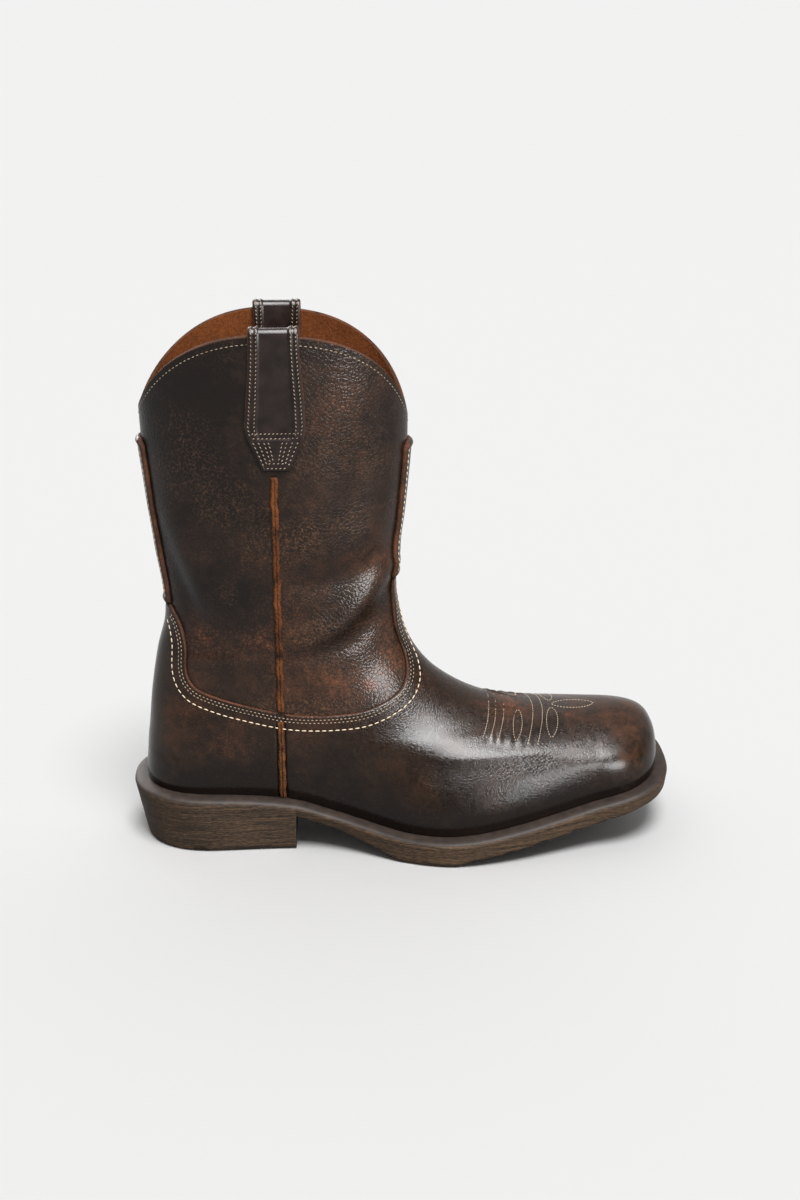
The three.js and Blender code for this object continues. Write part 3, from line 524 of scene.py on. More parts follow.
def skin(name, slot, node, outer, inner, uv, finishes, slots_of=None, fields_of=None, wraps=False):
    """A closed skin between an outer and an inner grid of points that stands for one CAD node. slots_of
    gives each face's finish from its kind, row and column; fields_of gives fields from the points."""
    rows, columns = outer.shape[:2]
    points = np.concatenate([outer.reshape(-1, 3), inner.reshape(-1, 3)])
    quads, kinds = closed_quads(rows, columns, wraps)
    first = quads[:, 0] % (rows * columns)
    slots = slots_of(kinds, first // columns, first % columns) if slots_of else None
    fields = fields_of(points) if fields_of else None
    materials = [finished(*each) for each in finishes]
    piece = new_mesh(name, points, quads, np.tile(uv.reshape(-1, 2), (2, 1)), fields, slots, materials)
    return finish(piece, slot, node)


# Where the dark wax is rubbed off to warm brown, and where the grain is pressed smooth: x, z, half width,
# half height in millimetres, and strength.
SHAFT_WORN = [
    (100, 108, 26, 26, 0.5), (146, 112, 16, 30, 0.75), (128, 96, 26, 12, 0.45), (92, 150, 7, 60, 0.4),
    (70, 126, 22, 9, 0.55), (44, 128, 10, 14, 0.6), (125, 262, 26, 30, 0.4), (140, 172, 14, 12, 0.5),
    (48, 222, 10, 14, 0.3), (66, 250, 9, 22, 0.3), (112, 178, 26, 22, 0.25), (118, 235, 22, 30, 0.3),
    (98, 135, 14, 14, 0.45), (60, 104, 20, 6, 0.3),
]
SHAFT_SMOOTH = [
    (60, 100, 30, 11, 0.9), (112, 98, 40, 9, 0.5), (118, 212, 24, 12, 0.7), (118, 168, 22, 8, 0.7),
    (143, 200, 9, 28, 0.8), (42, 160, 14, 18, 0.6), (40, 275, 40, 34, 0.7), (60, 235, 24, 50, 0.4),
]
FOOT_WORN = [
    (60, 66, 24, 13, 0.55), (40, 86, 14, 10, 0.4), (214, 74, 16, 10, 0.7), (262, 70, 36, 14, 0.45),
    (168, 92, 12, 12, 0.35), (288, 50, 16, 12, 0.55), (98, 58, 8, 20, 0.35), (190, 68, 14, 8, 0.35),
    (110, 80, 60, 4, 0.45), (22, 60, 12, 30, 0.25),
]


def bell(x, z, spots):
    """Sum over spots of strength times a bell of the distance in half widths and half heights."""
    total = np.zeros_like(x)
    for centre_x, centre_z, half_x, half_z, strength in spots:
        total += strength * np.exp(-(((x - centre_x) / half_x) ** 2) - ((z - centre_z) / half_z) ** 2)
    return total


def tones(points, foot):
    """Fields of a leather surface from its place: how worn, how smooth, and how much painted shade darkens
    it.
    """
    x, z = points[:, 0], points[:, 2]
    if foot:
        height = z - feather_z(x)
        worn = bell(x, z, FOOT_WORN)
        smooth = np.clip(1 - height / 30, 0, 1) * 0.9 + np.clip((x - 262) / 26, 0, 1) * 0.8
        smooth += np.clip((36 - x) / 20, 0, 1)
        # Painted shade: the lowest 30 mm of the wall, toward the sole, is darkened.
        deep = np.clip(1 - height / 30, 0, 1) ** 0.8
    else:
        worn = bell(x, z, SHAFT_WORN)
        smooth = bell(x, z, SHAFT_SMOOTH)
        # Painted shade: the back of the upper shaft, on the side away from the light at the right, is
        # darkened.
        deep = np.clip((84 - x) / 30, 0, 1) * np.clip((z - 175) / 60, 0, 1)
    return {"worn": np.clip(worn, 0, 1), "smooth": np.clip(smooth, 0, 1), "deep": np.clip(deep, 0, 1)}


# Materials: each is named for what the real one is, and its patterns have real sizes in metres.

MATH = "ShaderNodeMath"
NOISE = "ShaderNodeTexNoise"
CELLS = "ShaderNodeTexVoronoi"


def linear(colour):
    """An sRGB hex colour as linear RGBA."""
    parts = [int(colour[i : i + 2], 16) / 255 for i in (1, 3, 5)]
    return [*(c / 12.92 if c <= 0.04045 else ((c + 0.055) / 1.055) ** 2.4 for c in parts), 1.0]


def add(material, kind, inputs=(), output=0, stops=(), **settings):
    """Adds a node and gives one of its outputs. Settings are the node's own, inputs are values or other
    nodes' outputs by place or socket name, and stops are a colour ramp's places and colours."""
    node = material.node_tree.nodes.new(kind)
    for key, value in settings.items():
        setattr(node, key, value)
    for key, value in inputs.items() if isinstance(inputs, dict) else enumerate(inputs):
        if isinstance(value, bpy.types.NodeSocket):
            material.node_tree.links.new(value, node.inputs[key])
        else:
            node.inputs[key].default_value = value
    for k, (place, colour) in enumerate(stops):
        if k == 0:
            node.color_ramp.elements.remove(node.color_ramp.elements[1])
        element = node.color_ramp.elements.new(place) if k else node.color_ramp.elements[0]
        element.position = place
        element.color = colour
    return node.outputs[output] if len(node.outputs) else None


def finished(name, make):
    """The material of this name. On first use it is made: make adds the nodes and gives the settings of
    its shader by socket name."""
    if name in bpy.data.materials:
        return bpy.data.materials[name]
    material = bpy.data.materials.new(name)
    material.use_nodes = True
    material.node_tree.nodes.clear()
    shader = add(material, "ShaderNodeBsdfPrincipled", make(material, bpy.context.scene.boot_colours))
    add(material, "ShaderNodeOutputMaterial", {"Surface": shader})
    return material


def waxed_leather(material, colours, brown, gloss, pebble, depth, cracked):
    """Full-grain cowhide, drum-dyed, waxed and burnished by hand. The wax lies dark in the hollows and is
    rubbed off to warm brown where it wears, the pebbled grain breaks up the gloss, and pressed places
    are smooth. pebble is the grain's width in metres, depth its strength, and cracked how many pale
    cracks the wax has."""
    place = add(material, "ShaderNodeTexCoord", output="Object")
    worn = add(material, "ShaderNodeAttribute", output="Fac", attribute_name="worn")
    smooth = add(material, "ShaderNodeAttribute", output="Fac", attribute_name="smooth")
    # Painted shade: this field marks where shade is painted into the leather's colour.
    deep = add(material, "ShaderNodeAttribute", output="Fac", attribute_name="deep")
    rough = add(material, MATH, (smooth, -0.85, 1.0), operation="MULTIPLY_ADD")
    cloud = add(material, NOISE, {"Vector": place, "Scale": 1 / 0.028, "Detail": 4.0, "Roughness": 0.6})
    rub = add(material, NOISE, {"Vector": place, "Scale": 1 / 0.006, "Detail": 6.0, "Roughness": 0.72,
                                "Distortion": 0.5})
    sway = add(material, NOISE, {"Vector": place, "Scale": 1 / 0.0035, "Detail": 2.0}, output="Color")
    bent = add(material, "ShaderNodeVectorMath", {0: sway, 1: (0.0016,) * 3, 2: place},
               operation="MULTIPLY_ADD")
    edge = add(material, CELLS, {"Vector": bent, "Scale": 1 / pebble}, feature="DISTANCE_TO_EDGE")
    grain = add(material, MATH, (edge, 4.5, 0.0), operation="MULTIPLY_ADD", use_clamp=True)
    tone = add(material, MATH, (cloud, 1.0, -0.24), operation="MULTIPLY_ADD")
    tone = add(material, MATH, (worn, 0.42, tone), operation="MULTIPLY_ADD")
    rubbed = add(material, MATH, (rub, -0.5), operation="ADD")
    wear = add(material, MATH, (worn, 1.3, 0.5), operation="MULTIPLY_ADD")
    tone = add(material, MATH, (rubbed, wear, tone), operation="MULTIPLY_ADD")
    # Painted shade: darkens the tone where the field is set.
    tone = add(material, MATH, (deep, -0.3, tone), operation="MULTIPLY_ADD")
    hollow = add(material, MATH, (grain, -1.0, 1.0), operation="MULTIPLY_ADD")
    hollow = add(material, MATH, (hollow, rough), operation="MULTIPLY")
    colour = add(material, "ShaderNodeValToRGB", (tone,), stops=[
        (0.08, colours.wax), (0.36, brown), (0.66, colours.brown_warm), (1.0, colours.rubbed),
    ])
    patch = add(material, NOISE, {"Vector": place, "Scale": 1 / 0.034, "Detail": 4.0, "Distortion": 0.6})
    patch = add(material, MATH, (patch, 3.2, -1.35), operation="MULTIPLY_ADD", use_clamp=True)
    cracks = add(material, NOISE, {"Vector": place, "Scale": 1 / 0.0016, "Detail": 3.0, "Roughness": 0.7})
    cracks = add(material, MATH, (cracks, 4.0 * cracked, -1.75 * cracked), operation="MULTIPLY_ADD",
                 use_clamp=True)
    patch = add(material, MATH, (patch, cracks), operation="MULTIPLY")
    line = add(material, "ShaderNodeMix", {0: patch, 6: colours.wax, 7: colours.cracked}, 2, data_type="RGBA")
    lines = add(material, MATH, (hollow, 0.85), operation="MULTIPLY")
    colour = add(material, "ShaderNodeMix", {0: lines, 6: colour, 7: line}, 2, data_type="RGBA")
    sheen = add(material, MATH, (rubbed, 0.3, gloss), operation="MULTIPLY_ADD")
    sheen = add(material, MATH, (tone, 0.12, sheen), operation="MULTIPLY_ADD")
    pores = add(material, NOISE, {"Vector": place, "Scale": 1 / 0.0011, "Detail": 3.0, "Roughness": 0.65})
    pores = add(material, MATH, (pores, 0.1), operation="MULTIPLY")
    relief = add(material, MATH, (hollow, -1.0, pores), operation="MULTIPLY_ADD")
    bump = add(material, "ShaderNodeBump", {"Strength": depth, "Distance": 0.0003, "Height": relief})
    film = add(material, "ShaderNodeBump", {"Strength": depth / 2, "Distance": 0.0003, "Height": relief})
    return {"Base Color": colour, "Roughness": sheen, "Normal": bump, "Coat Normal": film, "IOR": 1.45,
            "Specular IOR Level": 0.09, "Coat Weight": 0.23, "Coat Roughness": 0.17}


def shaft_leather(material, colours):
    """Shaft panels: softer, with open pebbles about 2 mm wide."""
    return waxed_leather(material, colours, colours.shaft, 0.33, 0.0021, 0.42, 0.8)


def foot_leather(material, colours):
    """Vamp and counter: lasted over the foot and burnished, so tighter in grain and glossier."""
    return waxed_leather(material, colours, colours.foot, 0.26, 0.0014, 0.32, 0.22)


def strap_leather(material, colours):
    """Strap leather, split thin and plated smooth under a hot plate: even, dark and low in gloss, with
    only fine pores."""
    place = add(material, "ShaderNodeTexCoord", output="Object")
    cloud = add(material, NOISE, {"Vector": place, "Scale": 1 / 0.009, "Detail": 5.0})
    pores = add(material, NOISE, {"Vector": place, "Scale": 1 / 0.0009, "Detail": 3.0})
    colour = add(material, "ShaderNodeValToRGB", (cloud,), stops=[(0.3, colours.wax), (0.78, colours.strap)])
    gloss = add(material, MATH, (cloud, 0.22, 0.26), operation="MULTIPLY_ADD")
    bump = add(material, "ShaderNodeBump", {"Strength": 0.25, "Distance": 0.0002, "Height": pores})
    return {"Base Color": colour, "Roughness": gloss, "Normal": bump, "Specular IOR Level": 0.12,
            "Coat Weight": 0.14, "Coat Roughness": 0.2}


def cut_edge(material, dark, light, fibre=0.0012):
    """Cut edge of veg-dyed leather, left raw: matt loose fibres, pale at their tips and dark between."""
    place = add(material, "ShaderNodeTexCoord", output="Object")
    fibres = add(material, NOISE, {"Vector": place, "Scale": 1 / fibre, "Detail": 5.0, "Roughness": 0.75})
    broad = add(material, NOISE, {"Vector": place, "Scale": 1 / 0.011, "Detail": 3.0})
    tone = add(material, MATH, (fibres, 0.9, -0.3), operation="MULTIPLY_ADD")
    tone = add(material, MATH, (broad, 0.8, tone), operation="MULTIPLY_ADD")
    colour = add(material, "ShaderNodeValToRGB", (tone,), stops=[(0.38, dark), (0.72, light)])
    bump = add(material, "ShaderNodeBump", {"Strength": 0.8, "Distance": 0.0004, "Height": fibres})
    return {"Base Color": colour, "Roughness": 0.85, "Normal": bump, "Specular IOR Level": 0.08}


def suede_lining(material, colours):
    """Split-leather lining, buffed on its flesh side: a short rust-brown nap, mottled where it lies over,
    with no gloss."""
    place = add(material, "ShaderNodeTexCoord", output="Object")
    nap = add(material, NOISE, {"Vector": place, "Scale": 1 / 0.0014, "Detail": 5.0, "Roughness": 0.8})
    broad = add(material, NOISE, {"Vector": place, "Scale": 1 / 0.02, "Detail": 4.0})
    tone = add(material, MATH, (nap, 1.2, -0.4), operation="MULTIPLY_ADD")
    tone = add(material, MATH, (broad, 0.6, tone), operation="MULTIPLY_ADD")
    colour = add(material, "ShaderNodeValToRGB", (tone,), stops=[
        (0.2, colours.lining_dark), (0.85, colours.lining),
    ])
    bump = add(material, "ShaderNodeBump", {"Strength": 0.8, "Distance": 0.0006, "Height": nap})
    return {"Base Color": colour, "Roughness": 0.95, "Normal": bump, "Specular IOR Level": 0.05}


def waxed_thread(material, colours):
    """Waxed polyester thread, twisted: a pale tan line with a low gloss, browner where wax gathers."""
    place = add(material, "ShaderNodeTexCoord", output="Object")
    pale = add(material, "ShaderNodeAttribute", output="Fac", attribute_name="pale")
    grime = add(material, NOISE, {"Vector": place, "Scale": 1 / 0.012, "Detail": 4.0})
    tone = add(material, MATH, (grime, 0.8, -0.25), operation="MULTIPLY_ADD")
    tone = add(material, MATH, (pale, 0.7, tone), operation="MULTIPLY_ADD")
    colour = add(material, "ShaderNodeValToRGB", (tone,), stops=[
        (0.1, colours.thread_dark), (0.8, colours.thread),
    ])
    return {"Base Color": colour, "Roughness": 0.6, "Specular IOR Level": 0.3}


def striated_rubber(material, colours):
    """Moulded rubber with a wood-like face: long thin streaks run round the sole a few tenths of a
    millimetre apart, drawn about twice as coarse so that they show, and the face is matt. The UV map is
    in millimetres, round the sole and up it."""
    where = add(material, "ShaderNodeUVMap", uv_map="UVMap")
    round_way = add(material, "ShaderNodeSeparateXYZ", (where,), output="X")
    up_way = add(material, "ShaderNodeSeparateXYZ", (where,), output="Y")
    wobble = add(material, NOISE, {"Vector": where, "Scale": 0.04, "Detail": 3.0})
    height = add(material, MATH, (wobble, 4.0, up_way), operation="MULTIPLY_ADD")
    slow = add(material, MATH, (round_way, 0.03), operation="MULTIPLY")
    quick = add(material, MATH, (round_way, 0.14), operation="MULTIPLY")
    bands = add(material, "ShaderNodeCombineXYZ", {"X": slow, "Y": height})
    hairs = add(material, "ShaderNodeCombineXYZ", {"X": quick, "Y": height})
    bands = add(material, NOISE, {"Vector": bands, "Scale": 0.9, "Detail": 4.0, "Roughness": 0.6})
    hairs = add(material, NOISE, {"Vector": hairs, "Scale": 2.1, "Detail": 3.0, "Roughness": 0.7})
    pale = add(material, "ShaderNodeAttribute", output="Fac", attribute_name="pale")
    tone = add(material, MATH, (bands, 1.1, -0.62), operation="MULTIPLY_ADD")
    tone = add(material, MATH, (hairs, 1.2, tone), operation="MULTIPLY_ADD")
    tone = add(material, MATH, (pale, 0.06, tone), operation="MULTIPLY_ADD")
    colour = add(material, "ShaderNodeValToRGB", (tone,), stops=[
        (0.22, colours.sole_line), (0.46, colours.sole), (0.85, colours.sole_pale),
    ])
    bump = add(material, "ShaderNodeBump", {"Strength": 0.5, "Distance": 0.0003, "Height": tone})
    return {"Base Color": colour, "Roughness": 0.66, "Normal": bump, "Specular IOR Level": 0.12}


def moulded_rubber(material, colours):
    """Ledge and tread: moulded rubber as it leaves the mould, near-black brown and matt, faintly mottled."""
    place = add(material, "ShaderNodeTexCoord", output="Object")
    cloud = add(material, NOISE, {"Vector": place, "Scale": 1 / 0.005, "Detail": 5.0})
    colour = add(material, "ShaderNodeValToRGB", (cloud,), stops=[
        (0.3, colours.ledge_dark), (0.75, colours.ledge),
    ])
    bump = add(material, "ShaderNodeBump", {"Strength": 0.2, "Distance": 0.0002, "Height": cloud})
    return {"Base Color": colour, "Roughness": 0.55, "Normal": bump, "Specular IOR Level": 0.11}


def shaft_cord_edge(material, colours):
    """Raw edge of the shaft's side cord, rust brown."""
    return cut_edge(material, colours.cord_dark, colours.cord)


def foot_cord_edge(material, colours):
    """Raw edge of the foot's side cord, worn paler."""
    return cut_edge(material, colours.cord_dark, colours.foot_cord)


def panel_edge(material, colours):
    """Raw edge of the panels, strips and collar, dyed with the leather."""
    return cut_edge(material, colours.edge_dark, colours.edge)


def insole_board(material, colours):
    """Fibre board covered in split leather: brown, matt and softly mottled."""
    return cut_edge(material, colours.lining_dark, colours.lining, 0.0015)


# Finishes: the material's name and its maker
SHAFT_LEATHER = ("waxed_shaft_cowhide", shaft_leather)
FOOT_LEATHER = ("burnished_foot_cowhide", foot_leather)
STRAP_LEATHER = ("plated_strap_leather", strap_leather)
CUT_EDGE = ("cut_leather_edge", panel_edge)
LINING = ("buffed_suede_lining", suede_lining)
SHAFT_CORD_EDGE = ("raw_shaft_cord_leather", shaft_cord_edge)
FOOT_CORD_EDGE = ("raw_foot_cord_leather", foot_cord_edge)


# Pieces

COLLAR_ROUND = 0.7


def shaft_shell():
    """The hollow upper: rings of the surface at distance 0 outside and minus the wall inside, closed over a
    rounded collar edge and under the foot."""
    levels = np.concatenate([
        np.linspace(0, 7, 36), np.linspace(7, TOP - 0.05, 118)[1:], [TOP - 0.03, TOP - 0.012, TOP],
    ])
    turns = np.arange(236) / 236
    grid_level, grid_turn = np.meshgrid(levels, turns, indexing="ij")
    # The folded collar edge: the very top lies over the middle of the wall and is rounded.
    rim = surface(TOP + 0 * turns, turns, 0 * turns - WALL / 2)
    rim[:, 2] += COLLAR_ROUND
    outer = np.concatenate([surface(grid_level, grid_turn, 0 * grid_level), rim[None]])
    inner = np.concatenate([surface(grid_level, grid_turn, 0 * grid_level - WALL), rim[None] - [0, 0, 0.05]])
    rows, columns = outer.shape[:2]

    def slots_of(kind, row, column):
        # Leather outside, lining inside, and the cut edge over the top rows of both.
        edge = (kind > 1) | ((kind == 0) & (row >= rows - 3)) | ((kind == 1) & (row >= rows - 2))
        return np.where(edge, 1, 2 * kind)

    uv = np.stack(np.meshgrid(np.arange(columns) / columns, np.arange(rows) / rows), -1)
    return skin("shaft_shell", "shaft_leather", "upper", outer, inner, uv, (SHAFT_LEATHER, CUT_EDGE, LINING),
                slots_of, lambda points: tones(points, False), True)


TOE_ROWS = np.array([204.6, 208.7, 213.4, 219.6, 225.4, 230.8, 236.5])
TOE_REACH = 34.0
TOE_LEAN = 2.6


def toe_cords(point):
    """Height of the corded ridges between the toe's stitch rows: a squared sine from row to row, over the
    reach of the rows to each side."""
    sideways = (point[..., 1] + 3) / TOE_REACH
    straight = point[..., 0] + TOE_LEAN * sideways**2
    phase = np.interp(straight, TOE_ROWS, np.arange(len(TOE_ROWS)))
    window = np.clip((1 - np.abs(sideways)) * 8, 0, 1) * (point[..., 2] > 55)
    fade = np.interp(straight, TOE_ROWS, [1, 1, 1, 1, 0.5, 0.25, 0])
    return 0.75 * np.sin(np.pi * phase) ** 2 * window * fade


# The ring that the foot leather's low rows follow.
EVEN_LEVEL = 7.2
# How far the inner face of what lies on the upper stays off it.
CLOSE = 0.1
# A panel's columns near its side edges, and how thick it is there.
SIDE_SHARES = [0, 0.0012, 0.004, 0.996, 0.9988, 1]
SIDE_SHAPE = [0.5, 0.8, 1, 1, 0.8, 0.5]


def foot_panel(name, front):
    """A leather skin over the foot from the sole to the panel edge, in front of or behind the side seams.
    Columns run from seam to seam round the toe or the heel, rows from the sole up. Its rim is rounded: the
    skin's height over the upper falls to half in the last millimetre."""
    half = CORD_WIDTH / 2 + GAP
    edge_x = foot_x(SEAM_X) + (half if front else -half)
    if front:
        # Columns stand closer where the edge climbs beside the tongue.
        dense = np.linspace(0.36, 0.46, 65)
        plain = np.linspace(0.01, 0.36, 95)[:-1]
        middle = np.linspace(0.46, 0.54, 34)[1:-1]
        share = np.concatenate([plain, dense, middle, 1 - dense[::-1], 1 - plain[::-1]])
    else:
        share = np.linspace(0.01, 0.99, 190)
    share = np.concatenate([SIDE_SHARES[:3], share, SIDE_SHARES[3:]])

    def turn_of(level, w):
        near = turn_at_x(level, edge_x, -1)
        return near + w * (1 - 2 * near) if front else near - w * 2 * near

    top = halved(lambda m: m < panel_top(turn_of(m, share)), 4 + 0 * share, 13 + 0 * share)
    rise = np.concatenate([np.linspace(0, 0.985, 122 if front else 100), [0.991, 0.996, 0.9985, 1]])
    # Low rows follow the sole, and only the high ones bend to the edge.
    level = rise[:, None] * EVEN_LEVEL + rise[:, None] ** 3 * (top[None, :] - EVEN_LEVEL)
    turn = turn_of(level, share[None, :] + 0 * level)
    rim = np.interp(rise, [0, 0.991, 0.9985, 1], [1, 1, 0.8, 0.5])[:, None]
    side = np.interp(share, SIDE_SHARES, SIDE_SHAPE)[None, :]
    cords = toe_cords(upper_point(level, turn)) if front else 0
    outer = surface(level, turn, GAP + OVERLAY * rim * side + cords)
    inner = surface(level, turn, CLOSE + 0 * level)
    return skin(name, "foot_leather", "vamp" if front else "counter", outer, inner,
                np.stack(np.meshgrid(share, rise), -1), (FOOT_LEATHER, CUT_EDGE),
                lambda kind, row, column: np.where((kind == 0) & (row < len(rise) - 3), 0, 1),
                lambda points: tones(points, True))


# Half a strip's width in turns, and its lower end, upper end and turn.
STRIP_TURN = 2 / 48
FRONT_STRIP = (TONGUE_TOP + 0.4, 233.0, 0.5)
BACK_STRIP = (COUNTER_TOP + 0.4, 236.5, 0.0)


def seam_strip(name, node, low, high, middle):
    """A narrow strip over the front or back seam: rows of one height, columns across, its edges rounded
    and its ends rolled thicker."""
    height = np.linspace(low, high, 90)
    across = np.array([-1, -0.97, -0.9, -0.75, -0.55, -0.3, 0, 0.3, 0.55, 0.75, 0.9, 0.97, 1])
    z, t = np.meshgrid(height, across, indexing="ij")
    ends = np.minimum(z - low, high - z)
    narrow = np.interp(high - z, [0, 1.5, 4], [0.62, 0.85, 1])
    turn = (1 + middle + t * narrow * STRIP_TURN) % 1
    level = level_on_line(z, turn)
    shape = np.interp(np.abs(t), [0, 0.9, 0.97, 1], [1, 1, 0.8, 0.45])
    shape = shape * np.interp(ends, [0, 0.6, 1.2], [0.5, 0.9, 1])
    roll = 0.9 * np.exp(-(((ends - 2.0) / 1.6) ** 2))
    outer = surface(level, turn, GAP + (STRIP + roll) * shape)
    inner = surface(level, turn, CLOSE + 0 * z)

    def slots_of(kind, row, column):
        return np.where((kind == 0) & (column > 1) & (column < len(across) - 3), 0, 1)

    return skin(name, "strip_leather", node, outer, inner, np.stack(np.meshgrid(across, height / 20), -1),
                (STRAP_LEATHER, CUT_EDGE), slots_of)


# Heights of the cords' ends over the floor. The foot's cord starts at the sole.
SHAFT_CORD_ENDS = (84.5, 223.0)
FOOT_CORD_ENDS = (None, 79.0)


def seam_cord(name, node, ends, side, height, material):
    """A raised cord of cut leather along a side seam: two low ridges side by side, with a frayed edge that
    wanders by a few tenths of a millimetre."""
    x = foot_x(SEAM_X)
    low = 0.0 if ends[0] is None else float(level_at(x, ends[0], side))
    level = np.linspace(low, float(level_at(x, ends[1], side)), 170)
    across = np.linspace(-1, 1, 15)
    grid_level, t = np.meshgrid(level, across, indexing="ij")
    z = upper_point(grid_level, turn_at_x(grid_level, x, side))[..., 2]
    wander = 0.25 * np.sin(z / 3.1) + 0.18 * np.sin(z / 1.3 + 2)
    place = x + (t * CORD_WIDTH / 2) + wander * np.abs(t)
    turn = turn_at_x(grid_level, place, side)
    ridges = 0.72 + 0.28 * np.cos(np.pi * (t * 2 - 0.9)) * (1 - np.abs(t))
    rounded = np.sqrt(np.clip(1 - np.abs(t) ** 3.2, 0.04, 1))
    end = np.minimum(grid_level - level[0], level[-1] - grid_level) / (level[-1] - level[0])
    shape = ridges * rounded * np.interp(end, [0, 0.008], [0.5, 1])
    fray = 0.12 * np.sin(z * 2.4 + 5 * t) * np.sin(z * 1.1 + 3)
    outer = surface(grid_level, turn, GAP + height * shape + fray)
    inner = surface(grid_level, turn, CLOSE + 0 * z)
    return skin(name, "cord_leather", node, outer, inner, np.stack([t, grid_level], -1), (material,))


# Pull strap: height in shaft heights above the ankle, back edge and front edge in strap widths.
STRAP_OUTSIDE = np.array([
    [0.8, -0.2, 0.2], [0.955, -0.46, 0.46], [1.01, -0.5, 0.5], [1.13, -0.46, 0.48], [1.26, -0.42, 0.44],
    [1.36, -0.4, 0.42],
])
STRAP_TIP = STRAP_OUTSIDE[0, 0]
STRAP_FOLD, STRAP_BACK, STRAP_FRONT = STRAP_OUTSIDE[-1]
STRAP_END = 1.04
STRAP_MIDDLE = 0.268


def strap_surface(side, path, across, rise):
    """Points of a strap: path runs 0 to 1 up the outside, 1 to 2 over the collar and 2 to 3 down the inside;
    across runs from its back edge to its front edge; rise is the height over the leather below."""
    middle = foot_x(STRAP_MIDDLE)
    up_z = np.interp(path, [0, 1], [STRAP_TIP, STRAP_FOLD])
    down_z = np.interp(path, [2, 3], [STRAP_FOLD, STRAP_END])
    share = np.where(path <= 1, up_z, down_z)
    back = np.where(path <= 1, np.interp(share, STRAP_OUTSIDE[:, 0], STRAP_OUTSIDE[:, 1]), STRAP_BACK)
    front = np.where(path <= 1, np.interp(share, STRAP_OUTSIDE[:, 0], STRAP_OUTSIDE[:, 2]), STRAP_FRONT)
    x = middle + STRAP_WIDTH * (back + (front - back) * across)
    level = level_at(x, shaft_z(share), side)
    turn = turn_at_x(level, x, side)
    lift = STRAP_GAP + rise
    legs = surface(level, turn, np.where(path <= 1.5, lift, -WALL - lift))
    wall = upper_point(TOP + 0 * x, turn_at_x(TOP + 0 * x, x, side))
    collar = upper_point(TOP, turn_at_x(TOP, middle, side))[2]
    angle = np.pi * (0.08 + 0.84 * np.clip(path - 1, 0, 1))
    centre_y = wall[..., 1] - side * WALL / 2
    reach = WALL / 2 + lift
    crown = np.stack([
        x,
        centre_y + side * reach * np.cos(angle),
        collar + STRAP_GAP + (STRAP_RISE - STRAP_GAP - STRAP + rise) * np.sin(angle),
    ], -1)
    on_crown = ((path > 1) & (path < 2))[..., None]
    return np.where(on_crown, crown, legs)


def pull_strap(name, node, side):
    """A strap of two layers of smooth leather folded over the collar: a plate along the strap's path, with
    rounded edges, a low groove inside each edge where its layers are sewn, and a sunk middle."""
    path = np.concatenate([np.linspace(0, 1, 90), np.linspace(1.02, 1.98, 26), np.linspace(2, 3, 40)])
    across = np.concatenate([[0, 0.006, 0.02], np.linspace(0.05, 0.95, 44), [0.98, 0.994, 1]])
    s, t = np.meshgrid(path, across, indexing="ij")
    edge = np.minimum(t, 1 - t)
    end = np.minimum(s, 3 - s)
    shape = np.interp(edge, [0, 0.006, 0.02, 0.05], [0.4, 0.72, 0.95, 1])
    shape = shape * np.interp(end, [0, 0.008, 0.02], [0.45, 0.85, 1])
    sunk = np.clip((edge - 0.19) / 0.03, 0, 1) * np.clip((s - 0.27) / 0.01, 0, 1)
    groove = 0.55 * sunk * sunk * (3 - 2 * sunk) + 0.25 * np.exp(-(((edge - 0.12) / 0.03) ** 2))
    outer = strap_surface(side, s, t, STRAP * shape - groove)
    inner = strap_surface(side, s, t, 0 * s)

    def slots_of(kind, row, column):
        return np.where((kind > 1) | (column < 2) | (column > len(across) - 4), 1, 0)

    return skin(name, "strap_leather", node, outer, inner, np.stack([t, s], -1), (STRAP_LEATHER, CUT_EDGE),
                slots_of)


# Stitches

def stitch_shape(sides=6, rings=5):
    """One stitch as a grid: along its length from -1 to 1, round its thickness, full in the middle and
    closed at both ends."""
    along = np.linspace(-1, 1, rings)
    thick = np.sqrt(np.clip(1 - along**4, 0, 1)) * 0.999 + 0.001
    angle = 2 * np.pi * np.arange(sides) / sides
    a, b = np.meshgrid(along, angle, indexing="ij")
    r = thick[:, None] + 0 * b
    points = np.stack([a, r * np.cos(b), r * np.sin(b)], -1).reshape(-1, 3)
    index = np.arange(rings * sides).reshape(rings, sides)
    quads = grid_quads(wrapped(index))
    first, last = index[0], index[-1]
    caps = [[first[0], first[i + 1], first[i], first[i]] for i in range(1, sides - 1)]
    caps += [[last[0], last[i], last[i + 1], last[i + 1]] for i in range(1, sides - 1)]
    return points, np.vstack([quads, caps])


def stitches(line, normal, pitch, length, thickness, slant=0.0):
    """Stitches along a line on a surface, one every pitch: each is the stitch shape laid along the line,
    a little flattened, sunk by a third, and turned by a slant."""
    gaps = np.linalg.norm(np.diff(line, axis=0), axis=1)
    run = np.concatenate([[0], np.cumsum(gaps)])
    count = max(int(run[-1] / pitch), 1)
    where = (np.arange(count) + 0.5) * run[-1] / count
    centre = np.stack([np.interp(where, run, line[:, k]) for k in range(3)], -1)
    ahead = np.stack([np.interp(where + 0.4, run, line[:, k]) for k in range(3)], -1)
    behind = np.stack([np.interp(where - 0.4, run, line[:, k]) for k in range(3)], -1)
    up = unit(np.stack([np.interp(where, run, normal[:, k]) for k in range(3)], -1))
    along = unit(ahead - behind)
    across = unit(np.cross(up, along))
    along = unit(along + slant * across)
    across = unit(np.cross(up, along))
    shape, quads = stitch_shape()
    points = (
        (centre + up * thickness * 0.25)[:, None]
        + shape[None, :, :1] * along[:, None] * length / 2
        + shape[None, :, 1:2] * across[:, None] * thickness
        + shape[None, :, 2:] * up[:, None] * thickness * 0.8
    )
    faces = quads[None] + (np.arange(count) * len(shape))[:, None, None]
    return points.reshape(-1, 3), faces.reshape(-1, 4)


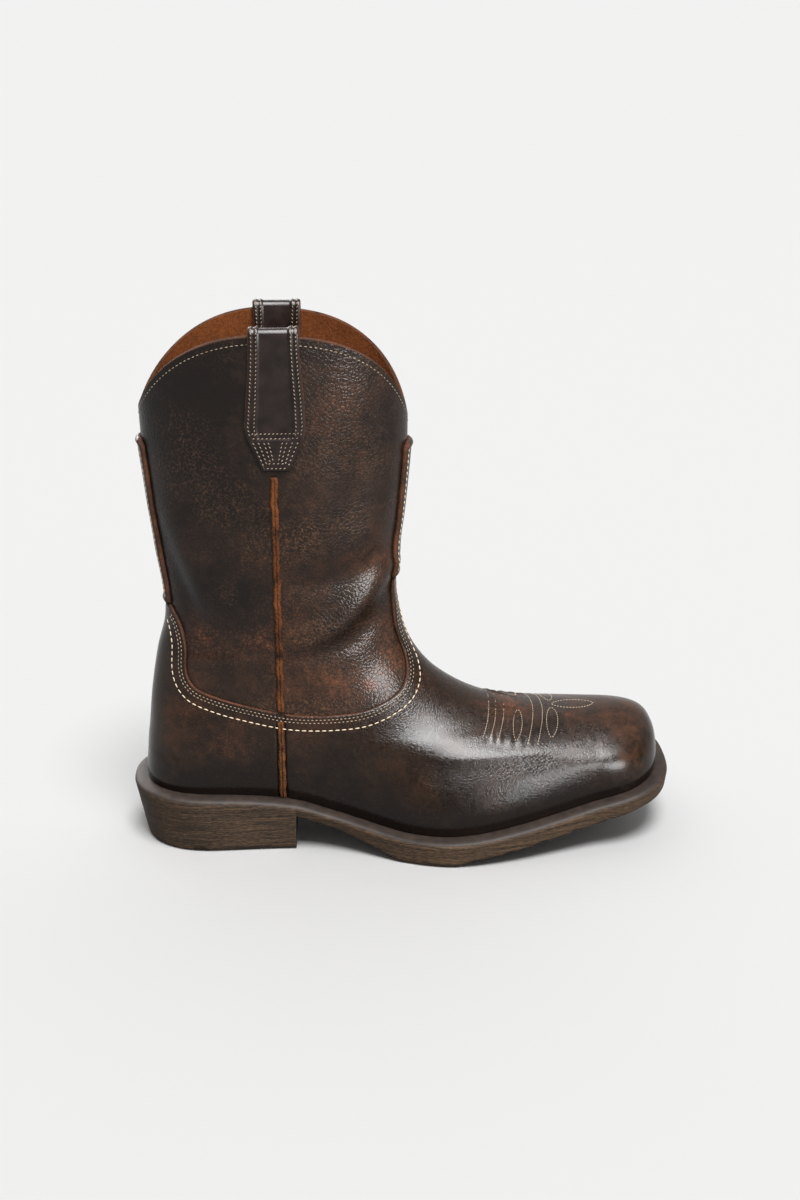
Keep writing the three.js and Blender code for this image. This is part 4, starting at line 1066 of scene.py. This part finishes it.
def sewn(name, lines):
    """All stitch rows of one piece joined in one mesh. Each row is (points, normals, pitch, length,
    thickness, slant) and how pale its thread is."""
    points, faces, pale, count = [], [], [], 0
    for line, tone in lines:
        p, f = stitches(*line)
        points.append(p)
        faces.append(f + count)
        pale.append(np.full(len(p), tone))
        count += len(p)
    piece = new_mesh(name, np.vstack(points), np.vstack(faces), None, {"pale": np.concatenate(pale)}, None,
                     [finished("waxed_polyester_thread", waxed_thread)])
    return finish(piece, "strap_leather")


def on_surface(level, turn, distance):
    """Points and normals of a stitch row at a distance over the plain surface."""
    return surface(level, turn, distance + 0 * level), upper_normal(level, turn)


def panel_rows():
    """Three rows beside the panel edge on each side: two fine rows close to it and a coarse one outside."""
    lines = []
    sizes = bpy.context.scene.boot_sizes
    fine, coarse, thread = sizes.stitch / MM, sizes.coarse_stitch / MM, sizes.thread / MM / 2
    # Distance from the edge, stitch to stitch, length and thickness of a stitch, and how pale it is.
    rows = (
        (2.2, fine, 0.62 * fine, thread, 0.15),
        (4.0, fine, 0.62 * fine, thread, 0.15),
        (8.6, coarse, 0.8 * coarse, 1.25 * thread, 1.0),
    )
    for side, turn in ((-1, EDGE_TURN), (1, 1 - EDGE_TURN)):
        for distance, pitch, length, thickness, pale in rows:
            level, row = beside(EDGE_LEVEL, turn, side * distance)
            # Only the part on the panel is sewn, and its ends stay free.
            on_panel = level < panel_top(row) - 0.04
            level, row = level[on_panel][6:-4], row[on_panel][6:-4]
            line, normal = on_surface(level, row, GAP + OVERLAY)
            lines.append(((line, normal, pitch, length, thickness, 0.0), pale))
    return lines


def collar_row():
    """One row of short stitches 4 mm below the collar edge, walked straight down the surface."""
    def downward(here, normal):
        return unit(np.cross(np.cross(normal, [0, 0, -1.0]), normal))

    turn = np.arange(0, 1.0005, 1 / 420)
    level, row = walk(TOP + 0 * turn, turn, downward, 4.0 + 0 * turn)
    line, normal = on_surface(level, row, 0.0)
    return [((line, normal, 2.7, 1.7, 0.25, 0.0), 0.2)]


def strip_rows(low, high, middle):
    """Two rows of long pale stitches along a seam strip, at 0.74 of its half width."""
    lines = []
    for t in (-0.74, 0.74):
        z = np.linspace(low + 2, high - 3, 120)
        turn = (1 + middle + t * STRIP_TURN) % 1 + 0 * z
        level = level_on_line(z, turn)
        line, normal = on_surface(level, turn, GAP + STRIP)
        lines.append(((line, normal, 3.3, 2.4, 0.36, 0.0), 0.9))
    return lines


def strap_rows_of(side):
    """Stitch rows of a strap: two along each edge from its widest place over the top and down the inside,
    two across at its widest place, and rows that follow the point below."""
    lines = []

    def row(path, across, pitch=2.1, length=1.35, thickness=0.26, slant=0.0):
        line = strap_surface(side, path, across, STRAP + 0 * path)
        wide = strap_surface(side, path, across, STRAP + 1 + 0 * path)
        lines.append(((line, unit(wide - line), pitch, length, thickness, slant), 0.15))

    along = np.linspace(0.3, 2.9, 260)
    for t, slant in ((0.07, 0.45), (0.165, -0.45)):
        row(along, 0 * along + t, slant=slant)
        row(along, 1 - t + 0 * along, slant=-slant)
    over = np.linspace(0.09, 0.91, 60)
    for p in (0.325, 0.285):
        row(0 * over + p, over, slant=0.5)
    for t in (0.09, 0.19, 0.29, 0.37):
        down = np.linspace(0.26, 0.035 + t * 0.16, 60)
        lean = t * (1.0 + 0.9 * (0.26 - down))
        row(down, lean, slant=0.35)
        row(down, 1 - lean, slant=-0.35)
    for p, t in ((0.035, 0.14), (0.075, 0.24)):
        low = np.linspace(t, 1 - t, 30)
        row(0 * low + p, low, slant=0.4)
    return lines


def across_vamp(x, s):
    """Place on the vamp at x, and s millimetres across it from the middle of its top."""
    start = halved(lambda m: curve_through(RING_NUMBERS, RINGS[:, 0], m) > x, 3.5 + 0 * x, 11 + 0 * x)
    away = np.where(s < 0, 1, -1)[..., None]

    def sideways(here, normal):
        return unit(np.cross([1.0, 0, 0], normal)) * away

    return walk(start, 0.5 + 0 * x, sideways, np.abs(s), 24)


def toe_pattern():
    """Stitching over the toe's cords: five rows across the vamp, a narrow oval between them on each side,
    and a flower of three plain petals in front."""
    lines = []

    def sew(x, s, pitch=1.8, length=1.15, thickness=0.19):
        level, turn = across_vamp(x, s)
        plain = upper_point(level, turn)
        line = surface(level, turn, GAP + OVERLAY + toe_cords(plain))
        lines.append(((line, upper_normal(level, turn), pitch, length, thickness, 0.0), 0.75))

    s = np.linspace(-TOE_REACH, TOE_REACH, 120)
    for x in TOE_ROWS[[0, 1, 2, 5, 6]]:
        sew(x - TOE_LEAN * (s / TOE_REACH) ** 2, s)
    turn = np.linspace(0, 2 * np.pi, 90)
    leaf = np.sin(turn) * np.abs(np.sin(turn)) ** 0.2
    sew(255.0 - 12.2 * np.cos(turn), 5.2 * leaf)
    for sign in (-1, 1):
        sew(241.8 + 3.3 * leaf, sign * (16.8 - 12.0 * np.cos(turn)))
        sew(221.4 + 2.6 * leaf, sign * (21.0 - 11.5 * np.cos(turn)))
    return lines


# Sole

def outline(turn, distance):
    """The upper's lowest ring, moved outward by a distance."""
    point, normal = upper_point(0 * turn, turn), upper_normal(0 * turn, turn)
    return point + normal * np.asarray(distance, float)[..., None]


FOREFOOT_GROOVES = foot_x(np.array([0.462, 0.6, 0.675, 0.745, 0.815, 0.885]))
HEEL_GROOVE = float(foot_x(0.1))


def sole_floor(x, heel):
    """Underside of the sole without its grooves: flat under the heel, the table's line ahead of it."""
    free = np.interp(x, foot_x(SOLE_BOTTOM[:, 0]), SOLE_BOTTOM[:, 1] * TOE_RISE - TREAD_WEAR)
    return np.where(heel, 0.0, np.maximum(free, 0.0))


def groove_depth(x, y, heel):
    """Depth of the tread: bowed grooves across the forefoot, one across the heel, with sloped walls."""
    bow = x - 0.0022 * (y + 2) ** 2
    near = np.min(np.abs(bow[..., None] - FOREFOOT_GROOVES), -1)
    wide = np.where(heel, np.abs(x - HEEL_GROOVE) - GROOVE_WIDTH / 2, near)
    return TREAD_DEPTH * np.clip((GROOVE_WIDTH / 2 + 0.5 - wide) / 1.0, 0, 1)


# Rows of the sole's rim that have the ledge's plain finish, and columns of the grid under the tread.
LEDGE_ROWS = 4
TREAD_COLUMNS = 44


def sole_unit():
    """The moulded sole: rings round the outline from the ledge under the upper, over its rounded rim, down
    the side and in under the tread, with a straight ribbon of faces across the top and a grid across the
    underside. Two columns stand close together at the heel's front face."""
    breast = float(foot_x(HEEL_BREAST))
    half = np.linspace(0, 0.5, 241)[1:-1]
    at = float(halved(lambda m: outline(m, BACK_X + 0 * m)[..., 0] < breast, np.zeros(1), np.full(1, 0.5))[0])
    half = half[np.abs(half - at) > 0.0014]
    half = np.sort(np.concatenate([half, [at - 0.0009, at - 0.0003, at + 0.0003, at + 0.0009]]))
    turn = np.concatenate([[0], half, [0.5], 1 - half[::-1]])
    near = np.minimum(turn, 1 - turn)
    heel = near < at
    back_taper = (HEEL_TAPER - HEEL_SIDE_TAPER) * np.cos(2 * np.pi * near) ** 8
    taper = np.where(heel, HEEL_SIDE_TAPER + back_taper, SOLE_TAPER)

    def ring(inset, z_of):
        points = outline(turn, BACK_X - inset)
        points[:, 2] = z_of(points[:, 0], points[:, 1])
        return points

    def top(drop):
        return lambda x, y: feather_z(x) - SOLE_GAP - drop

    def down(share):
        def height(x, y):
            low = sole_floor(x, heel) + SOLE_BEVEL
            high = feather_z(x) - SOLE_GAP - SOLE_LIP
            return low + (high - low) * (1 - share)
        return height

    # The rounded rim: how far in, and how far down.
    rim = ((9.2, 0), (6.0, 0.1), (2.6, 0.5), (1.1, 1.1), (0.35, 1.9), (0.0, SOLE_LIP))
    rings = [ring(inset, top(drop)) for inset, drop in rim]
    rings += [ring(taper * share, down(share)) for share in np.linspace(0, 1, 12)[1:]]

    def tread(x, y, heel=heel):
        return sole_floor(x, heel) + groove_depth(x, y, heel)

    rings.append(ring(taper + 0.5, lambda x, y: np.maximum(sole_floor(x, heel) + 0.5, tread(x, y) + 0.2)))
    rings.append(ring(taper + 1.5, tread))
    stack = np.stack(rings)
    rows, columns = stack.shape[:2]
    index = np.arange(rows * columns).reshape(rows, columns)
    side = grid_quads(wrapped(index))
    row_of = np.repeat(np.arange(rows - 1), columns)
    # The ribbon across the top joins each outer point to its twin on the inner side.
    pairs = len(half)
    left, right = index[0, 1 : pairs + 1], index[0, : pairs + 1 : -1]
    ribbon = np.stack([left[:-1], right[:-1], right[1:], left[1:]], -1)
    front, back = index[0, pairs + 1], index[0, 0]
    tips = np.array([[back, right[0], left[0], left[0]], [front, left[-1], right[-1], right[-1]]])
    # The grid across the underside.
    low = stack[-1]
    low_left, low_right = low[1 : pairs + 1], low[: pairs + 1 : -1]
    t = np.linspace(0, 1, TREAD_COLUMNS + 1)[1:-1]
    inner = low_left[:, None] * (1 - t[:, None]) + low_right[:, None] * t[:, None]
    inner_heel = heel[1 : pairs + 1][:, None] + np.zeros(len(t), bool)
    inner[..., 2] = tread(inner[..., 0], inner[..., 1], inner_heel)
    first = rows * columns
    body = first + np.arange(pairs * len(t)).reshape(pairs, len(t))
    under = np.column_stack([index[-1, 1 : pairs + 1], body, index[-1, : pairs + 1 : -1]])
    bottom = grid_quads(under.T)
    low_back, low_front = index[-1, 0], index[-1, pairs + 1]
    k = np.arange(TREAD_COLUMNS)
    heel_fan = np.column_stack([0 * k + low_back, under[0, k], under[0, k + 1], under[0, k + 1]])
    toe_fan = np.column_stack([0 * k + low_front, under[-1, k + 1], under[-1, k], under[-1, k]])
    points = np.vstack([stack.reshape(-1, 3), inner.reshape(-1, 3)])
    quads = np.vstack([side, ribbon, tips, bottom, heel_fan, toe_fan])
    slots = np.ones(len(quads), int)
    slots[: len(side)] = row_of < LEDGE_ROWS
    # UV in millimetres: the way round, and the height over the sole's lower edge.
    base = stack[len(rim) - 1]
    run = np.concatenate([[0], np.cumsum(np.linalg.norm(np.diff(base[:, :2], axis=0), axis=1))])
    uv = np.stack([np.broadcast_to(run, (rows, columns)), stack[..., 2]], -1).reshape(-1, 2)
    uv = np.vstack([uv, inner[..., :2].reshape(-1, 2)])
    pale = np.clip((points[:, 0] - 105) / 60, 0, 1) * np.clip((points[:, 2] + 8) / 12, 0, 1)
    piece = new_mesh("sole_unit", points, quads, uv, {"pale": pale}, slots,
                     [finished("striated_moulded_rubber", striated_rubber),
                      finished("plain_moulded_rubber", moulded_rubber)])
    return finish(piece, "sole_rubber", "outsole")


# Stage

# The camera, fitted to the photograph: target in millimetres, distance in metres, angles in degrees.
CAMERA_TARGET = np.array([154.5, 0.0, 138.0])
CAMERA_DISTANCE = 0.941
CAMERA_TILT = 21.6
CAMERA_SWING = -2.5
CAMERA_LENS = 50
CAMERA_SENSOR = 36
# The floor, in metres: half its width, how far it lies below the sole, and its points along a side.
FLOOR_REACH = 30
FLOOR_DROP = 0.0002
FLOOR_POINTS = 9


def stage():
    """Plain pale floor, soft lights and the camera of the photograph."""
    settings = bpy.context.scene.boot_stage
    scene = bpy.context.scene
    ticks = np.linspace(-FLOOR_REACH, FLOOR_REACH, FLOOR_POINTS)
    across, along = np.meshgrid(ticks, ticks, indexing="ij")
    points = np.stack([across, along, 0 * across - FLOOR_DROP], -1).reshape(-1, 3)
    quads = grid_quads(np.arange(FLOOR_POINTS**2).reshape(FLOOR_POINTS, FLOOR_POINTS).T)
    mesh = bpy.data.meshes.new("floor")
    mesh.from_pydata(points.tolist(), [], quads.tolist())
    mesh.materials.append(finished("seamless_paper_floor", seamless_paper))
    floor = bpy.data.objects.new("floor", mesh)
    scene.collection.objects.link(floor)

    # The room: pale behind the boot and grey above and on the camera's side, so that the wax stays deep.
    world = bpy.data.worlds.new("studio")
    world.use_nodes = True
    world.node_tree.nodes.clear()
    place = add(world, "ShaderNodeTexCoord", output="Generated")
    back = add(world, "ShaderNodeVectorMath", (place, (0.3, 0.8, 0.4)), "Value", operation="DOT_PRODUCT")
    shade = add(world, "ShaderNodeValToRGB", (back,), stops=[
        (0.0, settings.room_front), (0.3, settings.room_top), (0.8, settings.room_back),
    ])
    light = add(world, "ShaderNodeBackground", (shade, settings.sky))
    add(world, "ShaderNodeOutputWorld", (light,))
    scene.world = world
    # Two lamps light floor and boot alike. The softboxes are flagged off the floor, so they light only the
    # boot: one high in front for the gloss along the vamp's shoulder, one low at the right for the folds,
    # and one behind for the far side.
    for name, place, spread, power, flagged in (
        ("ceiling", (0.1, -0.3, 1.0), settings.ceiling_width, settings.ceiling, False),
        ("window", (-0.8, 0.5, 1.0), 60, settings.window, False),
        ("high_softbox", (0.16, -0.55, 0.88), settings.high_width, settings.high, True),
        ("low_softbox", (0.6, -0.78, 0.17), settings.low_width, settings.low, True),
        ("rear_softbox", (-0.5, 0.8, 0.55), 50, settings.rear, True),
    ):
        data = bpy.data.lights.new(name, "SUN")
        data.energy = power
        data.angle = math.radians(spread)
        lamp = bpy.data.objects.new(name, data)
        lamp.location = place
        lamp.rotation_euler = Vector(place).to_track_quat("Z", "Y").to_euler()
        if flagged:
            lamp.light_linking.receiver_collection = softbox_group()
        scene.collection.objects.link(lamp)

    data = bpy.data.cameras.new("camera")
    data.lens = CAMERA_LENS
    data.sensor_width = CAMERA_SENSOR
    camera = bpy.data.objects.new("camera", data)
    tilt, swing = math.radians(CAMERA_TILT), math.radians(CAMERA_SWING)
    back = np.array([math.sin(swing) * math.cos(tilt), -math.cos(swing) * math.cos(tilt), math.sin(tilt)])
    camera.location = CAMERA_TARGET * MM + SHIFT + back * CAMERA_DISTANCE
    camera.rotation_euler = (math.pi / 2 - tilt, 0, swing)
    scene.collection.objects.link(camera)
    scene.camera = camera
    scene.view_settings.view_transform = "Standard"


def seamless_paper(material, colours):
    """Plain matt seamless paper, near-white."""
    return {"Base Color": bpy.context.scene.boot_stage.floor, "Roughness": 0.95, "Specular IOR Level": 0.1}


def colour(name, description, code):
    """A colour setting whose default is a hex code."""
    return bpy.props.FloatVectorProperty(
        name=name, description=description, default=linear(code), subtype="COLOR", size=4, min=0, max=1
    )


def strength(name, description, default):
    """A lamp's strength setting."""
    return bpy.props.FloatProperty(name=name, description=description, default=default, min=0)


def width(name, description, default):
    """A lamp's width setting, in degrees."""
    return bpy.props.FloatProperty(name=name, description=description, default=default, min=1, max=120)


def size(name, description, default, least):
    """A length setting, in metres."""
    return bpy.props.FloatProperty(
        name=name, description=description, default=default, min=least, unit="LENGTH"
    )


class BootColours(bpy.types.PropertyGroup):
    """Colours of the boot."""

    wax: colour("Wax", "Darkest tone of the waxed leather", "#070403")
    shaft: colour("Shaft", "Shaft leather under its wax", "#150c07")
    foot: colour("Foot", "Foot leather under its wax", "#130b06")
    brown_warm: colour("Warm brown", "Leather where the wax is thin", "#24140b")
    rubbed: colour("Rubbed", "Leather where the wax is rubbed off", "#432514")
    cracked: colour("Cracked", "Leather bared by the cracks of its wax", "#4d3625")
    strap: colour("Straps", "Smooth leather of straps and strips", "#160e0c")
    cord_dark: colour("Cord hollows", "Side cords between their fibres", "#110703")
    cord: colour("Shaft cord", "Side cord of the shaft", "#42230e")
    foot_cord: colour("Foot cord", "Side cord of the foot", "#452813")
    edge_dark: colour("Edge hollows", "Cut edges between their fibres", "#1a0f0a")
    edge: colour("Edge", "Cut edges of panels and collar", "#341e13")
    lining_dark: colour("Lining hollows", "Suede lining between its nap", "#200d04")
    lining: colour("Lining", "Suede lining", "#4c2811")
    thread_dark: colour("Waxed thread", "Thread where wax gathers", "#42372b")
    thread: colour("Thread", "Thread", "#7b6e5d")
    sole_line: colour("Sole lines", "Darkest streaks of the sole", "#090603")
    sole: colour("Sole", "Side of the sole", "#140e09")
    sole_pale: colour("Sole streaks", "Palest streaks of the sole", "#342619")
    ledge_dark: colour("Ledge hollows", "Dark tone of ledge and tread", "#120e0c")
    ledge: colour("Ledge", "Ledge and tread", "#1e1713")


class BootSizes(bpy.types.PropertyGroup):
    """Sizes of the boot's finish."""

    folds: bpy.props.FloatProperty(
        name="Folds", description="Height of the folds, as a factor", default=1.0, min=0, max=2
    )
    stitch: size("Fine stitch", "Length from stitch to stitch", 0.0023, 0.001)
    coarse_stitch: size("Coarse stitch", "Length from stitch to stitch in the outer row", 0.0037, 0.001)
    thread: size("Thread", "Thickness of the thread", 0.00055, 0.0001)


class BootStage(bpy.types.PropertyGroup):
    """Floor and lights."""

    floor: colour("Floor", "Paper under the boot", "#eeeeee")
    room_front: colour("Room front", "Room on the camera's side", "#7c7977")
    room_top: colour("Room top", "Room above the boot", "#6c6967")
    room_back: colour("Room back", "Room behind the boot", "#f4f4f4")
    sky: strength("Room", "Strength of the room's light", 0.85)
    ceiling: strength("Ceiling", "Strength of the lamp over the floor", 2.12)
    ceiling_width: width("Ceiling width", "Width of the ceiling lamp in degrees", 26)
    window: strength("Window", "Strength of the weak lamp from behind", 0.25)
    high: strength("High softbox", "Strength of the softbox high in front", 16.5)
    high_width: width("High softbox width", "Width of the high softbox in degrees", 42)
    low: strength("Low softbox", "Strength of the softbox low at the right", 4.3)
    rear: strength("Rear softbox", "Strength of the softbox behind the boot", 5.0)
    low_width: width("Low softbox width", "Width of the low softbox in degrees", 24)


class BOOT_OT_stage(bpy.types.Operator):
    """Adds the floor, the lights and the camera"""

    bl_idname = "boot.stage"
    bl_label = "Stage"

    def execute(self, context):
        stage()
        return {"FINISHED"}


class BOOT_OT_upper(bpy.types.Operator):
    """Builds the hollow upper with its collar edge and lining"""

    bl_idname = "boot.upper"
    bl_label = "Upper"

    def execute(self, context):
        shaft_shell()
        return {"FINISHED"}


class BOOT_OT_foot(bpy.types.Operator):
    """Builds the vamp and the counter"""

    bl_idname = "boot.foot"
    bl_label = "Vamp and counter"

    def execute(self, context):
        foot_panel("vamp_leather", True)
        foot_panel("counter_leather", False)
        return {"FINISHED"}


class BOOT_OT_strips(bpy.types.Operator):
    """Builds the strips over the front and back seams"""

    bl_idname = "boot.strips"
    bl_label = "Seam strips"

    def execute(self, context):
        seam_strip("front_seam_strip", "front_strip", *FRONT_STRIP)
        seam_strip("back_seam_strip", "back_strip", *BACK_STRIP)
        return {"FINISHED"}


class BOOT_OT_cords(bpy.types.Operator):
    """Builds the raised cords of the side seams"""

    bl_idname = "boot.cords"
    bl_label = "Side cords"

    def execute(self, context):
        for name, side in (("outer", -1), ("inner", 1)):
            shaft, foot = (f"shaft_cord_{name}", SHAFT_CORD_ENDS), (f"foot_cord_{name}", FOOT_CORD_ENDS)
            seam_cord(f"side_cord_{name}", *shaft, side, SHAFT_CORD, SHAFT_CORD_EDGE)
            seam_cord(f"low_cord_{name}", *foot, side, FOOT_CORD, FOOT_CORD_EDGE)
        return {"FINISHED"}


class BOOT_OT_straps(bpy.types.Operator):
    """Builds the pull straps"""

    bl_idname = "boot.straps"
    bl_label = "Pull straps"

    def execute(self, context):
        pull_strap("strap_outer", "pull_strap_outer", -1)
        pull_strap("strap_inner", "pull_strap_inner", 1)
        return {"FINISHED"}


class BOOT_OT_sole(bpy.types.Operator):
    """Builds the moulded sole and gives the insole its finish"""

    bl_idname = "boot.sole"
    bl_label = "Sole and insole"

    def execute(self, context):
        sole_unit()
        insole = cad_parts["insole"]
        for material_slot in insole.material_slots:
            material_slot.link = "OBJECT"
            material_slot.material = finished("covered_fibre_board", insole_board)
        softbox_group().objects.link(insole)
        return {"FINISHED"}


class BOOT_OT_stitching(bpy.types.Operator):
    """Sews every row of stitches"""

    bl_idname = "boot.stitching"
    bl_label = "Stitching"

    def execute(self, context):
        sewn("stitches_panel", panel_rows())
        sewn("stitches_collar", collar_row())
        sewn("stitches_strips", strip_rows(*FRONT_STRIP) + strip_rows(*BACK_STRIP))
        sewn("stitches_strap_outer", strap_rows_of(-1))
        sewn("stitches_strap_inner", strap_rows_of(1))
        sewn("stitches_toe", toe_pattern())
        return {"FINISHED"}


class BOOT_PT_panel(bpy.types.Panel):
    """Lists the boot's pieces and colours"""

    bl_label = "Western boot"
    bl_space_type = "VIEW_3D"
    bl_region_type = "UI"
    bl_category = "Boot"

    def draw(self, context):
        for operator in OPERATORS:
            self.layout.operator(operator.bl_idname)
        for group in ("boot_colours", "boot_sizes", "boot_stage"):
            values = getattr(context.scene, group)
            for key in type(values).__annotations__:
                self.layout.prop(values, key)


OPERATORS = (
    BOOT_OT_stage, BOOT_OT_upper, BOOT_OT_foot, BOOT_OT_strips, BOOT_OT_cords, BOOT_OT_straps,
    BOOT_OT_sole, BOOT_OT_stitching,
)
CLASSES = (BootColours, BootSizes, BootStage, *OPERATORS, BOOT_PT_panel)


def register():
    for each in CLASSES:
        bpy.utils.register_class(each)
    bpy.types.Scene.boot_colours = bpy.props.PointerProperty(type=BootColours)
    bpy.types.Scene.boot_sizes = bpy.props.PointerProperty(type=BootSizes)
    bpy.types.Scene.boot_stage = bpy.props.PointerProperty(type=BootStage)


def unregister():
    del bpy.types.Scene.boot_stage
    del bpy.types.Scene.boot_sizes
    del bpy.types.Scene.boot_colours
    for each in reversed(CLASSES):
        bpy.utils.unregister_class(each)


def main():
    register()
    for operator in OPERATORS:
        group, name = operator.bl_idname.split(".")
        getattr(getattr(bpy.ops, group), name)()


if __name__ == "__main__":
    main()
